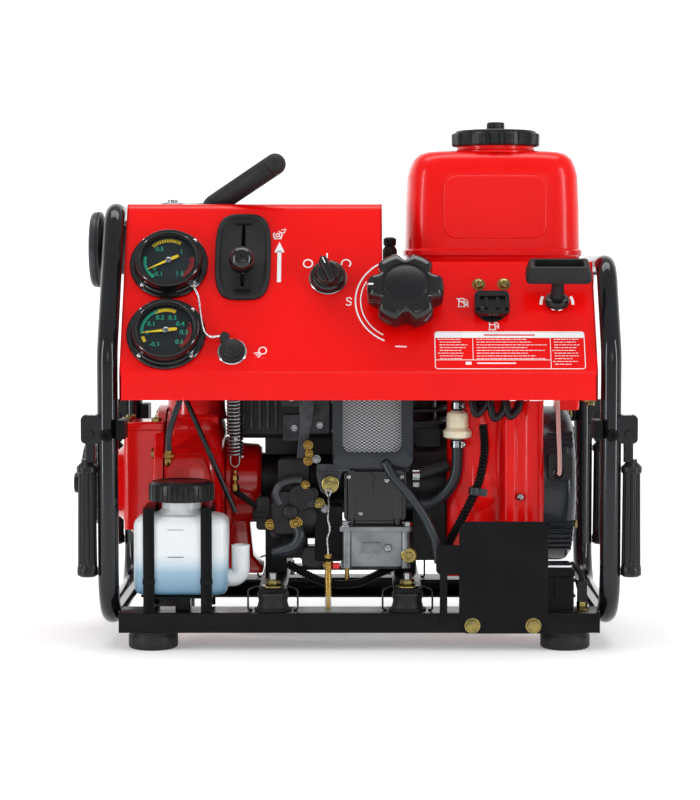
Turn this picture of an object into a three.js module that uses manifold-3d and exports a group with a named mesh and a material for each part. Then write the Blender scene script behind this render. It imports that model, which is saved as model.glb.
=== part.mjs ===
// Portable fire pump: a two-stroke engine driving a centrifugal pump, carried in a tubular frame.
// Millimetres. +X runs from the pump (left) to the hand starter (right), +Y from the control panel
// to the back, +Z up. Everything is drawn from the floor up and moved at the end, so that the
// origin is at the middle of the bottom of its box.
import * as THREE from 'three';
import { mergeVertices } from 'three/addons/utils/BufferGeometryUtils.js';
import Module from 'manifold-3d';

const wasm = await Module();
wasm.setup();

const gap = 0.3; // clearance between pieces that touch
const rad = THREE.MathUtils.degToRad;

// Frame
const tubeR = 11; // side hoop tube
const hoopX = 266; // tube centre from the middle of the machine
const frontLegY = 11;
const rearLegY = 300;
const hoopBottomZ = 33;
const leanStartZ = 316; // height where the front leg starts to lean back
const lean = rad(30); // backward lean of the panel and of the upper front leg
const leftTopZ = 464.7;
const rightTopZ = 407.8;
const hoopBendR = 48;
const topBendR = 34;
const footR = 26.4;
const footH = 19;
const footX = 220;
const railDepth = 50;
const railH = 21;
const railWall = 3;

// Carrying handles
const handlePivotZ = 230;
const handlePivotOut = tubeR + 7.6; // pivot outside the tube centre
const pinR = 3.2;
const earThick = 3.5;
const earGapY = 13; // between the two ears of a handle bracket
const handleLength = 152; // pivot to grip end
const gripR = 9;
const gripFlangeR = 10.4;
const gripOut = 3.6; // grip centre outside the pivot

// Control panel
const panelT = 2;
const panelLeftX = -252.5;
const panelRightX = 251;
const panelStepX = 25;
const lipBottomZ = 266;
const slopeZ = 297; // height where the panel starts to lean back
const slopeTallS = 205; // slope length of the tall left part
const slopeLowS = 132; // slope length of the low right part
const panelReturn = 16; // depth of the side returns
const topFlange = 6;

// Controls: x, and s up the slope
const gaugeX = -204.5;
const vacuumGaugeS = 128.2;
const pressureGaugeS = 43;
const gaugeFlangeR = 42;
const gaugeBezelR = 35;
const gaugeCanR = 30;
const gaugeH = 17;
const gaugeCanDepth = 28;
const dialZ = 9;
const needleLength = 25;
const primerX = -125;
const primerS = 137.5;
const primerW = 60;
const primerL = 106;
const primerPlate = 4;
const primerSlotW = 15;
const primerSlotL = 84;
const primerPivotDepth = 78;
const primerArm = 104; // pivot to the middle of the knob
const primerRestTilt = rad(9.5);
const primerKnobR = 14;
const primerKnobH = 24;
const primerCrank = 42;
const springR = 6.5;
const switchX = -33.4;
const switchS = 112;
const switchR = 19.5;
const switchH = 20;
const dialX = 49;
const dialS = 84;
const dialR = 41;
const dialH = 38;
const dialLobes = 6;
const dialScoop = 8.5;
const spindleR = 6;
const spindleDepth = 20;
const cockX = 141;
const cockS = 76;
const cockW = 38;
const cockH = 17;
const lampX = -134.3;
const lampS = 22.6;
const lampR = 14.5;
const lampH = 13;
const starterX = 211;
const starterS = 83;
const starterAxisUp = rad(60); // elevation of the grip's pull direction
const gripBarW = 70;
const gripBarH = 20;
const gripBarD = 22;
const gripStemR = 7.4;
const gripStemL = 27;

// Engine and pump on one axis along X
const axisY = 160;
const axisZ = 164;
const shaftR = 12.5;
const runClear = 0.6; // radial clearance round turning parts
const caseR = 60;
const caseX0 = 2;
const caseX1 = 118;
const caseBoreR = 44;
const bellX0 = -147;
const bellR = 42;
const bellNeckR = 34;
const cylinderX = 50;
const cylinderBoreR = 29;
const cylinderSide = 98;
const deckZ = axisZ + caseR + 4;
const cylinderH = 92;
const finCount = 7;
const finT = 3;
const impellerR = 70;
const volR = impellerR + 18; // chamber gap and casing wall
const volX0 = -213;
const volX1 = bellX0 - gap;
const impellerX = -196;
const riserX = -181;
const riserR = 31;
const riserBoreR = 24;
const dischargeY = 150;
const dischargeR = 36;
const dischargeNeckR = 27.5; // where the pipe passes under the side hoop
const dischargeZ = leftTopZ - tubeR - dischargeNeckR - 1;
const couplingR = 42;
const dischargeEndX = -296.7;
const riserTopZ = 368;
const valveStemX = -207;
const leverGripR = 11.8;
const suctionX = -262;
const portR = 40;
const portBoreR = 31;
const portEndX = -300;
const capR = 45;
const capFit = 0.8; // radial clearance of the cap's skirt on the port
const capKnobR = 11.5;
const capEndX = -319;
const shroudX0 = 121.7;
const recoilX0 = 201;
const recoilX1 = 237.5;
const shroudR = 90;
const recoilR = 86.5;
const sheetT = 2.5;
const fanR = 76;
const fanBlades = 12;
const pulleyR = 62;
const pulleyX = 216;
const pulleyW = 12;

// Fuel tank
const tankX0 = 50;
const tankX1 = 248;
const tankY0 = 105;
const tankY1 = 258;
const tankTopZ = 534;
const tankSeamZ = 422;
const tankBottomZ = 384;
const tankSquareness = 5; // 2 is an ellipse, larger is squarer
const tankLip = 3; // seam flange beyond the walls
const tankWall = 3;
const neckX = 153;
const neckY = 170;
const neckR = 43;
const fuelCapR = 49.5;
const fuelCapZ = 540.3;
const fuelCapH = 19.4;
const ventR = 10;
const ventH = 7.7;

// Front equipment
const oilX0 = -240.4;
const oilX1 = -139.7;
const oilY0 = 8;
const oilDepth = axisY - volR - oilY0 - 4;
const oilZ0 = 57;
const oilTopZ = 149;
const oilWall = 2.5;
const oilNeckR = 21.5;
const oilNeckX = -190;
const oilCapR = 35.2;
const oilNeckY = axisY - volR - oilCapR - 1;
const oilCapZ = 157;
const oilCapH = 22;
const strapW = 12;
const strapT = 2;
const strapX = [-223, -162];
const guardX0 = 105.4;
const guardX1 = 199.4;
const guardZ0 = 19;
const guardTopZ = 138;
const guardT = 2.5;
const batteryX0 = 112;
const batteryX1 = 228.5;
const batteryY0 = 14;
const batteryDepth = 48;
const batteryH = 46;
const mountX = [-92, 51.5];
const mountR = 16.5;
const mountH = 19;
const studR = 4;
const cradleT = 5;

const railTopZ = footH + gap + railH;
const frontRailY = 0;
const rearRailY = rearLegY + frontLegY - railDepth;
const cradleZ = railTopZ + gap + mountH + gap;

// ---- solids -------------------------------------------------------------------------------
const toSolid = (geometry) => {
  const bare = geometry.clone();
  bare.deleteAttribute('normal');
  bare.deleteAttribute('uv');
  const merged = mergeVertices(bare, 1e-4);
  return new wasm.Manifold(new wasm.Mesh({
    numProp: 3,
    vertProperties: Float32Array.from(merged.attributes.position.array),
    triVerts: Uint32Array.from(merged.index.array),
  }));
};

const toGeometry = (manifold) => {
  const mesh = manifold.getMesh();
  const geometry = new THREE.BufferGeometry();
  geometry.setAttribute('position', new THREE.BufferAttribute(mesh.vertProperties, 3));
  geometry.setIndex(new THREE.BufferAttribute(mesh.triVerts, 1));
  geometry.computeVertexNormals();
  return geometry;
};

const join = (...parts) => toGeometry(parts.map(toSolid).reduce((all, part) => all.add(part)));
const cut = (body, ...tools) =>
  toGeometry(tools.map(toSolid).reduce((left, tool) => left.subtract(tool), toSolid(body)));

// box from its low corner and its sizes
const block = (x, y, z, w, d, h) =>
  new THREE.BoxGeometry(w, d, h).translate(x + w / 2, y + d / 2, z + h / 2);

// body of revolution about +Z from [radius, height] pairs, bottom to top
const turned = (profile, sides = 16) =>
  new THREE.LatheGeometry(profile.map(([r, z]) => new THREE.Vector2(r, z)), sides).rotateX(Math.PI / 2);

const rod = (r, z0, z1, sides = 14) => turned([[0, z0], [r, z0], [r, z1], [0, z1]], sides);
const alongX = (geometry) => geometry.rotateY(Math.PI / 2);
const alongY = (geometry) => geometry.rotateX(-Math.PI / 2);

// rod between two points
const rodBetween = (from, to, r, sides = 10) => {
  const span = new THREE.Vector3().subVectors(to, from);
  const turn = new THREE.Quaternion().setFromUnitVectors(
    new THREE.Vector3(0, 0, 1), span.clone().normalize());
  return rod(r, 0, span.length(), sides).applyQuaternion(turn).translate(from.x, from.y, from.z);
};

const outline = (points) => new THREE.Shape(points.map(([x, y]) => new THREE.Vector2(x, y)));
const prism = (shape, depth, curveSegments = 4) =>
  new THREE.ExtrudeGeometry(shape, { depth, bevelEnabled: false, curveSegments });

// a YZ outline carried along +X
const acrossX = (shape, x0, x1) => prism(shape, x1 - x0).applyMatrix4(new THREE.Matrix4().makeBasis(
  new THREE.Vector3(0, 1, 0), new THREE.Vector3(0, 0, 1), new THREE.Vector3(1, 0, 0)))
  .translate(x0, 0, 0);

const roundedRect = (x0, y0, x1, y1, r) => {
  const shape = new THREE.Shape();
  shape.moveTo(x0 + r, y0);
  shape.lineTo(x1 - r, y0);
  shape.absarc(x1 - r, y0 + r, r, -Math.PI / 2, 0);
  shape.lineTo(x1, y1 - r);
  shape.absarc(x1 - r, y1 - r, r, 0, Math.PI / 2);
  shape.lineTo(x0 + r, y1);
  shape.absarc(x0 + r, y1 - r, r, Math.PI / 2, Math.PI);
  shape.lineTo(x0, y0 + r);
  shape.absarc(x0 + r, y0 + r, r, Math.PI, 1.5 * Math.PI);
  return shape;
};

// bent sheet: an open line of [y, z] points thickened by t to the left of its direction
const sheetOutline = (line, t) => {
  const points = line.map(([y, z]) => new THREE.Vector2(y, z));
  const normals = points.slice(1).map((p, i) => {
    const along = p.clone().sub(points[i]).normalize();
    return new THREE.Vector2(along.y, -along.x);
  });
  const offset = points.map((p, i) => {
    const before = normals[Math.max(0, i - 1)];
    const after = normals[Math.min(normals.length - 1, i)];
    const mitre = before.clone().add(after).normalize();
    return p.clone().addScaledVector(mitre, t / mitre.dot(after));
  });
  return new THREE.Shape([...points, ...offset.reverse()]);
};

// a route whose extrusion steps fall on its own points
class Route extends THREE.Curve {
  constructor(points) {
    super();
    this.points = points;
  }

  get steps() {
    return this.points.length - 1;
  }

  getPoint(u) {
    return this.points[Math.round(u * this.steps)].clone();
  }

  getPointAt(u) {
    return this.getPoint(u);
  }

  getTangentAt(u) {
    const i = Math.round(u * this.steps);
    const before = this.points[Math.max(0, i - 1)];
    const after = this.points[Math.min(this.steps, i + 1)];
    return new THREE.Vector3().subVectors(after, before).normalize();
  }
}

// straight runs joined by round bends
const bentRoute = (corners, bendR, arcSteps) => {
  const points = [corners[0].clone()];
  for (let i = 1; i < corners.length - 1; i += 1) {
    const into = new THREE.Vector3().subVectors(corners[i], corners[i - 1]).normalize();
    const out = new THREE.Vector3().subVectors(corners[i + 1], corners[i]).normalize();
    const turn = into.angleTo(out);
    const r = Array.isArray(bendR) ? bendR[i - 1] : bendR;
    const tangentLength = r * Math.tan(turn / 2);
    const start = corners[i].clone().addScaledVector(into, -tangentLength);
    const side = out.clone().addScaledVector(into, -out.dot(into)).normalize();
    for (let k = 0; k <= arcSteps; k += 1) {
      const angle = (turn * k) / arcSteps;
      points.push(start.clone()
        .addScaledVector(into, r * Math.sin(angle))
        .addScaledVector(side, r * (1 - Math.cos(angle))));
    }
  }
  points.push(corners[corners.length - 1].clone());
  return new Route(points);
};

const smoothRoute = (points, steps) =>
  new Route(new THREE.CatmullRomCurve3(points, false, 'centripetal').getSpacedPoints(steps));

const tube = (route, r, sides = 8) => {
  const ring = outline(Array.from({ length: sides }, (_, i) => {
    const angle = (2 * Math.PI * (i + 0.5)) / sides;
    return [r * Math.cos(angle), r * Math.sin(angle)];
  }));
  return new THREE.ExtrudeGeometry(ring, { steps: route.steps, extrudePath: route });
};

// stack of like outlines, each [points, z], closed at both ends
const lofted = (levels) => {
  const count = levels[0][0].length;
  const flat = levels.flatMap(([points, z]) => points.flatMap(([x, y]) => [x, y, z]));
  const faces = [];
  for (let k = 0; k < levels.length - 1; k += 1) {
    for (let i = 0; i < count; i += 1) {
      const a = k * count + i;
      const b = k * count + ((i + 1) % count);
      faces.push(a, b, b + count, a, b + count, a + count);
    }
  }
  const top = (levels.length - 1) * count;
  for (let i = 1; i < count - 1; i += 1) {
    faces.push(0, i + 1, i);
    faces.push(top, top + i, top + i + 1);
  }
  const geometry = new THREE.BufferGeometry();
  geometry.setAttribute('position', new THREE.BufferAttribute(new Float32Array(flat), 3));
  geometry.setIndex(faces);
  return geometry;
};

// rounded oblong with slightly bowed sides
const bowedOblong = (x0, y0, x1, y1, inset, squareness, count = 32) => Array.from({ length: count }, (_, i) => {
  const angle = (2 * Math.PI * (i + 0.5)) / count;
  const bow = (v) => Math.sign(v) * Math.abs(v) ** (2 / squareness);
  return [
    (x0 + x1) / 2 + ((x1 - x0) / 2 - inset) * bow(Math.cos(angle)),
    (y0 + y1) / 2 + ((y1 - y0) / 2 - inset) * bow(Math.sin(angle)),
  ];
});

const at = (x, y, z) => new THREE.Vector3(x, y, z);

// ---- scene graph --------------------------------------------------------------------------
const machine = new THREE.Group();
const slope = new THREE.Group(); // z is the panel's outward normal, y runs up the slope
slope.rotation.x = Math.PI / 2 - lean;
slope.position.set(0, 0, slopeZ);
slope.updateMatrix();
machine.add(slope);

const redPaint = [0xd9120e, 0.3, 0];
const blackPaint = [0x111216, 0.3, 0.1];
const blackPlastic = [0x1a1b1e, 0.55, 0];
const rubber = [0x17181a, 0.8, 0];
const darkCast = [0x2b2d31, 0.6, 0.5];
const aluminium = [0x9aa0a4, 0.45, 0.9];
const steel = [0xb9bcc0, 0.3, 1];
const blueGrey = [0x39424c, 0.5, 0.1];

const place = (name, geometry, [color, roughness, metalness], parent = machine) => {
  const mesh = new THREE.Mesh(geometry, new THREE.MeshStandardMaterial({ color, roughness, metalness }));
  mesh.name = name;
  parent.add(mesh);
  return mesh;
};

// from slope coordinates to the machine's
const onSlope = (geometry) => geometry.applyMatrix4(slope.matrix);

// ---- frame --------------------------------------------------------------------------------
const handleBracket = (side, legY) => {
  const pivotX = side * (hoopX + handlePivotOut);
  const reach = tubeR / 2;
  const width = handlePivotOut - reach + pinR + 3;
  const x0 = side > 0 ? hoopX + reach : -hoopX - reach - width;
  const ears = [-1, 1].map((end) => {
    const y = legY + (end * (earGapY + earThick)) / 2 - earThick / 2;
    const ear = block(x0, y, handlePivotZ - 10, width, earThick, 26);
    const hole = alongY(rod(pinR + gap, -1, earThick + 1, 8)).translate(pivotX, y, handlePivotZ);
    return cut(ear, hole);
  });
  // hook over the pivot that joins the two ears
  const span = earGapY + 2 * earThick;
  const hook = block(side > 0 ? pivotX - 5 : pivotX - 6, legY - span / 2, handlePivotZ + 15, 11, span, 5);
  return join(...ears, hook);
};

const sideHoop = (side, topZ) => {
  const x = side * hoopX;
  const middleY = (frontLegY + rearLegY) / 2;
  const topFrontY = frontLegY + Math.tan(lean) * (topZ - leanStartZ);
  const corners = [
    at(x, middleY - gap, hoopBottomZ),
    at(x, frontLegY, hoopBottomZ),
    at(x, frontLegY, leanStartZ),
    at(x, topFrontY, topZ),
    at(x, rearLegY, topZ),
    at(x, rearLegY, hoopBottomZ),
    at(x, middleY + gap, hoopBottomZ),
  ];
  const bends = [hoopBendR, hoopBendR, topBendR, hoopBendR, hoopBendR];
  const loop = tube(bentRoute(corners, bends, 4), tubeR, 10);
  return join(loop, handleBracket(side, frontLegY), handleBracket(side, rearLegY));
};

place('side_hoop_left', sideHoop(-1, leftTopZ), blackPaint);
place('side_hoop_right', sideHoop(1, rightTopZ), blackPaint);

// channel rail with its web on the outside and its open side towards the machine
const rail = (y0, webAtFront) => {
  const z0 = footH + gap;
  const half = hoopX - tubeR - gap;
  const y = y0 + railDepth / 2;
  const way = webAtFront ? 1 : -1;
  const line = [
    [y + (way * railDepth) / 2, z0 + railH],
    [y - (way * railDepth) / 2, z0 + railH],
    [y - (way * railDepth) / 2, z0],
    [y + (way * railDepth) / 2, z0],
  ];
  const ordered = webAtFront ? line.reverse() : line;
  return acrossX(sheetOutline(ordered, railWall), -half, half);
};

// welded shelf and two flat straps that hold the oil tank
const oilCradle = () => {
  const shelfZ = oilZ0 - gap - strapT;
  const y1 = oilY0 + oilDepth + gap + strapT;
  const shelf = block(strapX[0] - strapW / 2, oilY0, shelfZ, strapX[1] - strapX[0] + strapW, oilDepth, strapT);
  const post = block(-196, oilY0 + 12, railTopZ - 1, 16, 20, shelfZ - railTopZ + 2);
  const straps = strapX.map((x) => {
    const outer = block(x - strapW / 2, oilY0 - gap - strapT, railTopZ - 1, strapW,
      oilDepth + 2 * (gap + strapT), oilTopZ + gap + strapT - railTopZ + 1);
    const inner = block(x - strapW, oilY0 - gap, railTopZ - 5, 2 * strapW,
      oilDepth + 2 * gap, oilTopZ + gap - railTopZ + 5);
    return cut(outer, inner);
  });
  const tie = block(strapX[0], y1 - strapT, shelfZ, strapX[1] - strapX[0], strapT, strapW);
  return join(shelf, post, ...straps, tie, block(strapX[0] - 6, oilY0 + oilDepth - 2, shelfZ, 73, 4.3, strapT));
};

place('front_base_rail', join(rail(frontRailY, true), oilCradle()), blackPaint);
place('rear_base_rail', rail(rearRailY, false), blackPaint);

const corners = [['front', frontRailY, 1], ['rear', rearRailY, -1]];
const sides = [['left', -1], ['right', 1]];
for (const [end, railY] of corners) {
  for (const [hand, side] of sides) {
    const foot = turned([[0, 0], [footR - 4, 0], [footR - 1.2, 1.2], [footR, 4], [footR, footH], [0, footH]]);
    place(`foot_${end}_${hand}`, foot, rubber).position.set(side * footX, railY + railDepth / 2 + 1, 0);
  }
}

// folding grip: knuckle on a riveted pin, neck, flanged grip
const carryHandle = (side) => {
  const knuckleR = 6;
  const halfY = earGapY / 2 - gap;
  const knuckle = alongY(rod(knuckleR, -halfY, halfY, 12));
  const lug = block(-knuckleR + 0.5, -halfY, -18, 2 * knuckleR - 1, 2 * halfY, 18);
  const pin = alongY(rod(pinR, -earGapY / 2 - earThick - 3, earGapY / 2 + earThick + 3, 8));
  const grip = turned([
    [0, -handleLength], [gripFlangeR, -handleLength], [gripFlangeR, -handleLength + 6],
    [gripR, -handleLength + 9], [gripR - 1.4, -38], [gripFlangeR, -36], [gripFlangeR, -31],
    [5, -29], [5, -12], [0, -12],
  ], 10).translate(side * gripOut, 0, 0);
  return join(knuckle, lug, pin, grip);
};

for (const [end, legY] of [['front', frontLegY], ['rear', rearLegY]]) {
  for (const [hand, side] of sides) {
    place(`carry_handle_${end}_${hand}`, carryHandle(side), blackPlastic)
      .position.set(side * (hoopX + handlePivotOut), legY, handlePivotZ);
  }
}

// rubber mounts with their studs and nuts, and the cradle that they carry
const mountY = [frontRailY + railDepth / 2, rearRailY + railDepth / 2];
for (const [i, end] of ['front', 'rear'].entries()) {
  for (const [k, hand] of ['left', 'right'].entries()) {
    const nutZ = mountH + gap + cradleT + gap;
    const mount = join(
      turned([[0, 0], [mountR + 4, 0], [mountR + 4, 2.5], [mountR, 3.5], [mountR, mountH], [0, mountH]], 14),
      rod(studR, mountH - 1, nutZ + 12, 8),
      rod(8.2, nutZ, nutZ + 8, 6),
    );
    place(`engine_mount_${end}_${hand}`, mount, rubber).position.set(mountX[k], mountY[i], railTopZ + gap);
  }
}

const cradle = () => {
  const y0 = mountY[0] - 14;
  const length = mountY[1] - mountY[0] + 28;
  const bars = mountX.map((x) => block(x - 15, y0, cradleZ, 30, length, cradleT));
  const ties = [98, 198].map((y) => block(mountX[0], y, cradleZ, mountX[1] - mountX[0], 24, cradleT));
  const holes = mountX.flatMap((x) => mountY.map((y) => rod(studR + gap, 0, 2 * cradleT, 8)
    .translate(x, y, cradleZ - 2)));
  return cut(join(...bars, ...ties), ...holes);
};
place('engine_cradle', cradle(), blackPaint);

// ---- control panel ------------------------------------------------------------------------
const slopePoint = (s, depth = 0) => [
  s * Math.sin(lean) + depth * Math.cos(lean),
  slopeZ + s * Math.cos(lean) - depth * Math.sin(lean),
];

const controlPanel = () => {
  const skin = (topS, x0, x1) => {
    const [topY, topZ] = slopePoint(topS);
    return acrossX(sheetOutline([[0, lipBottomZ], [0, slopeZ], [topY, topZ], [topY + topFlange, topZ]], panelT),
      x0, x1);
  };
  const sideReturn = (topS, x0) => acrossX(
    sheetOutline([[0, lipBottomZ], [0, slopeZ], slopePoint(topS)], panelReturn), x0, x0 + panelT);
  const stepReturn = acrossX(sheetOutline([slopePoint(slopeLowS - 1), slopePoint(slopeTallS)], panelReturn),
    panelStepX - panelT, panelStepX);
  const ear = onSlope(block(primerX + 20.5, primerS - 10, -primerPivotDepth - 9, 3, 20, primerPivotDepth + 8));
  const hole = (x, s, r) => onSlope(rod(r, -2 * panelReturn, 8, 16).translate(x, s, 0));
  const pinHole = onSlope(alongX(rod(pinR + gap, -30, 30, 8)).translate(primerX, primerS, -primerPivotDepth));
  const slot = onSlope(block(primerX - primerSlotW / 2 - 6, primerS - primerSlotL / 2 - 3, -8,
    primerSlotW + 12, primerSlotL + 6, 20));
  const body = join(
    skin(slopeTallS, panelLeftX, panelStepX), skin(slopeLowS, panelStepX - 1, panelRightX),
    sideReturn(slopeTallS, panelLeftX), sideReturn(slopeLowS, panelRightX - panelT), stepReturn, ear);
  return cut(body,
    hole(gaugeX, vacuumGaugeS, gaugeCanR + 2 * gap), hole(gaugeX, pressureGaugeS, gaugeCanR + 2 * gap),
    hole(switchX, switchS, spindleR + 2), hole(dialX, dialS, spindleR + 2), hole(cockX, cockS, spindleR + 2),
    hole(starterX, starterS, 11), hole(lampX, lampS, 9), pinHole, slot);
};
place('control_panel', controlPanel(), redPaint);

// round instrument: flange, bezel, dial face and the can behind the panel
const gaugeBody = () => turned([
  [0, -gaugeCanDepth], [gaugeCanR, -gaugeCanDepth], [gaugeCanR, gap], [gaugeFlangeR, gap], [gaugeFlangeR, 4],
  [gaugeBezelR + 1, 5], [gaugeBezelR, gaugeH], [gaugeBezelR - 4, gaugeH], [gaugeBezelR - 4, gaugeH - 2.6],
  [gaugeBezelR - 6, gaugeH - 2.6], [gaugeBezelR - 6, dialZ], [0, dialZ],
], 22);
const gaugeLens = () => rod(gaugeBezelR - 4 - gap, gaugeH - 2.6 + gap, gaugeH - gap, 22);
const gaugeNeedle = () => join(
  rod(3.6, dialZ + gap, dialZ + 3.2, 10),
  prism(outline([[-12, -1.6], [needleLength, -0.5], [needleLength, 0.5], [-12, 1.6]]), 0.9)
    .translate(0, 0, dialZ + 1.4),
);
const gauges = [['vacuum_gauge', vacuumGaugeS, rad(207)], ['pressure_gauge', pressureGaugeS, rad(187)]];
for (const [name, s, angle] of gauges) {
  place(`${name}_body`, gaugeBody(), blackPlastic, slope).position.set(gaugeX, s, 0);
  const needle = place(`${name}_needle`, gaugeNeedle(), [0xe8d21c, 0.5, 0], slope);
  needle.position.set(gaugeX, s, 0);
  needle.rotation.z = angle;
  place(`${name}_lens`, gaugeLens(), [0xdfe6ea, 0.05, 0], slope).position.set(gaugeX, s, 0);
}

const stadium = (w, l) => roundedRect(-w / 2, -l / 2, w / 2, l / 2, w / 2 - 0.01);
const primerBezel = () => cut(
  prism(stadium(primerW, primerL), primerPlate, 6).translate(0, 0, gap),
  prism(roundedRect(-primerSlotW / 2, -primerSlotL / 2, primerSlotW / 2, primerSlotL / 2, 3), 20, 4)
    .translate(0, 0, -5),
);
place('primer_bezel', primerBezel(), rubber, slope).position.set(primerX, primerS, 0);

// rocking lever on a cross pin behind the panel, with a side crank for the tension spring
const primerLever = () => {
  const arm = rod(4.5, 0, primerArm - primerKnobH / 2 + 2, 8);
  const knob = turned([
    [0, primerArm - 26], [6, primerArm - 26], [8, primerArm - 12], [primerKnobR, primerArm - 9],
    [primerKnobR, primerArm + 10], [primerKnobR - 3, primerArm + 12], [0, primerArm + 12]], 14);
  const hub = alongX(rod(8, -12, 16, 10));
  const pin = alongX(rod(pinR, 10, 27, 8));
  const crank = block(-16, -3, 0, 14, 6, primerCrank).rotateX(lean - primerRestTilt);
  return join(arm, knob, hub, pin, crank);
};
const lever = place('primer_lever', primerLever(), blackPlastic, slope);
lever.position.set(primerX, primerS, -primerPivotDepth);
lever.rotation.x = primerRestTilt;

// tension spring hanging from the crank down to the vacuum pump's pull rod
const crankEnd = at(-11, 0, primerCrank - springR - 0.5)
  .applyEuler(new THREE.Euler(lean, 0, 0)).add(lever.position).applyMatrix4(slope.matrix);
const springBottomZ = 192;
const springTopZ = crankEnd.z - 3 - gap;
place('primer_spring', rod(springR, springBottomZ, springTopZ, 10).translate(crankEnd.x, crankEnd.y, 0), steel);

const knobSpindle = () => rod(spindleR, -spindleDepth, 3, 10);
const switchKnob = () => join(
  knobSpindle(),
  turned([[0, 2], [switchR, 2], [switchR - 1.5, 9], [0, 9]], 18),
  block(-6.5, -17, 8, 13, 34, switchH - 8),
);
const mainSwitch = place('main_switch_knob', switchKnob(), blackPlastic, slope);
mainSwitch.position.set(switchX, switchS, 0);
mainSwitch.rotation.z = rad(22);

const lobedOutline = () => {
  const shape = new THREE.Shape();
  const steps = 48;
  for (let i = 0; i < steps; i += 1) {
    const angle = (2 * Math.PI * i) / steps;
    const dip = Math.max(0, Math.cos(dialLobes * angle + Math.PI)) ** 1.5;
    const r = dialR - dialScoop * dip;
    shape[i ? 'lineTo' : 'moveTo'](r * Math.cos(angle), r * Math.sin(angle));
  }
  return shape;
};
const throttleDial = () => join(
  knobSpindle(),
  turned([[0, 2], [dialR - 10, 2], [dialR - 10, 7], [0, 7]], 18),
  prism(lobedOutline(), dialH - 6).translate(0, 0, 6),
);
place('throttle_dial', throttleDial(), blackPlastic, slope).position.set(dialX, dialS, 0);

const fuelCock = () => join(
  knobSpindle(),
  turned([[0, 2], [13, 2], [12, 8], [0, 8]], 14),
  block(-cockW / 2, -6, 7, cockW, 12, cockH - 7),
);
place('fuel_cock_lever', fuelCock(), blackPlastic, slope).position.set(cockX, cockS, 0);

const lampCap = () => turned([
  [0, gap - 8], [8, gap - 8], [8, gap], [lampR, gap], [lampR, 4], [lampR - 3, 5], [lampR - 3, 9],
  [lampR - 6, lampH], [0, lampH]], 14);
place('lamp_socket_cap', lampCap(), rubber, slope).position.set(lampX, lampS, 0);

// T-shaped starter grip on its pull line
const starterGroup = new THREE.Group();
const [starterY, starterZ] = slopePoint(starterS, -1);
starterGroup.position.set(starterX, starterY, starterZ);
starterGroup.rotation.x = Math.PI / 2 - starterAxisUp;
machine.add(starterGroup);
const starterGrip = () => {
  const half = gripBarW / 2;
  const face = outline([[-half, gripStemL], [half, gripStemL], [half - 3.5, gripStemL + gripBarH],
    [-half + 3.5, gripStemL + gripBarH]]);
  const bar = prism(face, gripBarD).rotateX(Math.PI / 2).translate(0, gripBarD / 2, 0);
  const hollow = block(-half + 8, -gripBarD / 2 + 3.5, gripStemL + gripBarH - 12, gripBarW - 16, gripBarD - 7, 20);
  return cut(join(bar, rod(gripStemR, 5, gripStemL + 2, 10)), hollow);
};
place('starter_grip', starterGrip(), rubber, starterGroup);

// ---- engine -------------------------------------------------------------------------------
const onAxis = (geometry) => alongX(geometry).translate(0, axisY, axisZ);

const crankcase = () => {
  const shell = onAxis(turned([
    [0, bellX0], [bellR, bellX0], [bellR, bellX0 + 8], [bellNeckR, bellX0 + 10], [bellNeckR, caseX0 - 12], [caseR - 6, caseX0],
    [caseR, caseX0 + 2], [caseR, caseX1], [0, caseX1]], 20));
  const deck = block(cylinderX - 40, axisY - 40, axisZ + 30, 80, 80, deckZ - axisZ - 30);
  const feet = mountX.map((x) => block(x - 12, axisY - 30, cradleZ + cradleT + gap, 24, 60, axisZ - cradleZ - cradleT - 20));
  const bore = onAxis(rod(shaftR + runClear, bellX0 - 5, caseX1 + 5, 16));
  const crankRoom = onAxis(rod(caseBoreR, 12, 88, 18));
  const mouth = rod(cylinderBoreR, axisZ, deckZ + 5, 18).translate(cylinderX, axisY, 0);
  return cut(join(shell, deck, ...feet), bore, crankRoom, mouth);
};
place('crankcase', crankcase(), darkCast);

const crankshaft = () => {
  const pinOffset = 24;
  const webs = [[36, 46], [56, 66]].map(([x0, x1]) => rod(36, x0, x1, 16));
  const left = rod(shaftR, -205, 40, 14);
  const right = rod(shaftR, 62, 196, 14);
  const crankPin = rod(9, 44, 58, 10).translate(0, pinOffset, 0);
  return onAxis(join(left, right, ...webs, crankPin));
};
place('crankshaft', crankshaft(), steel);

const finned = () => {
  const z0 = deckZ + gap;
  const core = rod(37, z0, z0 + cylinderH, 18).translate(cylinderX, axisY, 0);
  const half = cylinderSide / 2;
  const fins = Array.from({ length: finCount }, (_, i) => {
    const z = z0 + 8 + (i * (cylinderH - 12)) / (finCount - 1) - finT;
    return block(cylinderX - half, axisY - half, z, cylinderSide, cylinderSide, finT);
  });
  const base = block(cylinderX - 39, axisY - 39, z0, 78, 78, 5);
  const plug = rod(7, z0 + cylinderH - 1, z0 + cylinderH + 22, 8).translate(cylinderX, axisY, 0);
  const bore = rod(cylinderBoreR - 2, z0 - 5, z0 + cylinderH - 12, 18).translate(cylinderX, axisY, 0);
  const port = alongY(rod(15, 30, cylinderSide / 2 + 3, 10)).translate(cylinderX, axisY, z0 + 40);
  return cut(join(core, ...fins, base, plug, port), bore);
};
place('cylinder', finned(), aluminium);

const mufflerZ0 = deckZ - 22;
const mufflerY0 = axisY + cylinderSide / 2 + 3 + gap;
const muffler = () => join(
  prism(roundedRect(-8, mufflerZ0, 108, mufflerZ0 + 105, 18), 88).rotateX(Math.PI / 2)
    .translate(0, mufflerY0 + 88, 0),
  alongX(rod(12, 106, 128, 10)).translate(0, mufflerY0 + 60, mufflerZ0 + 24),
);
place('muffler', muffler(), darkCast);

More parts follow.
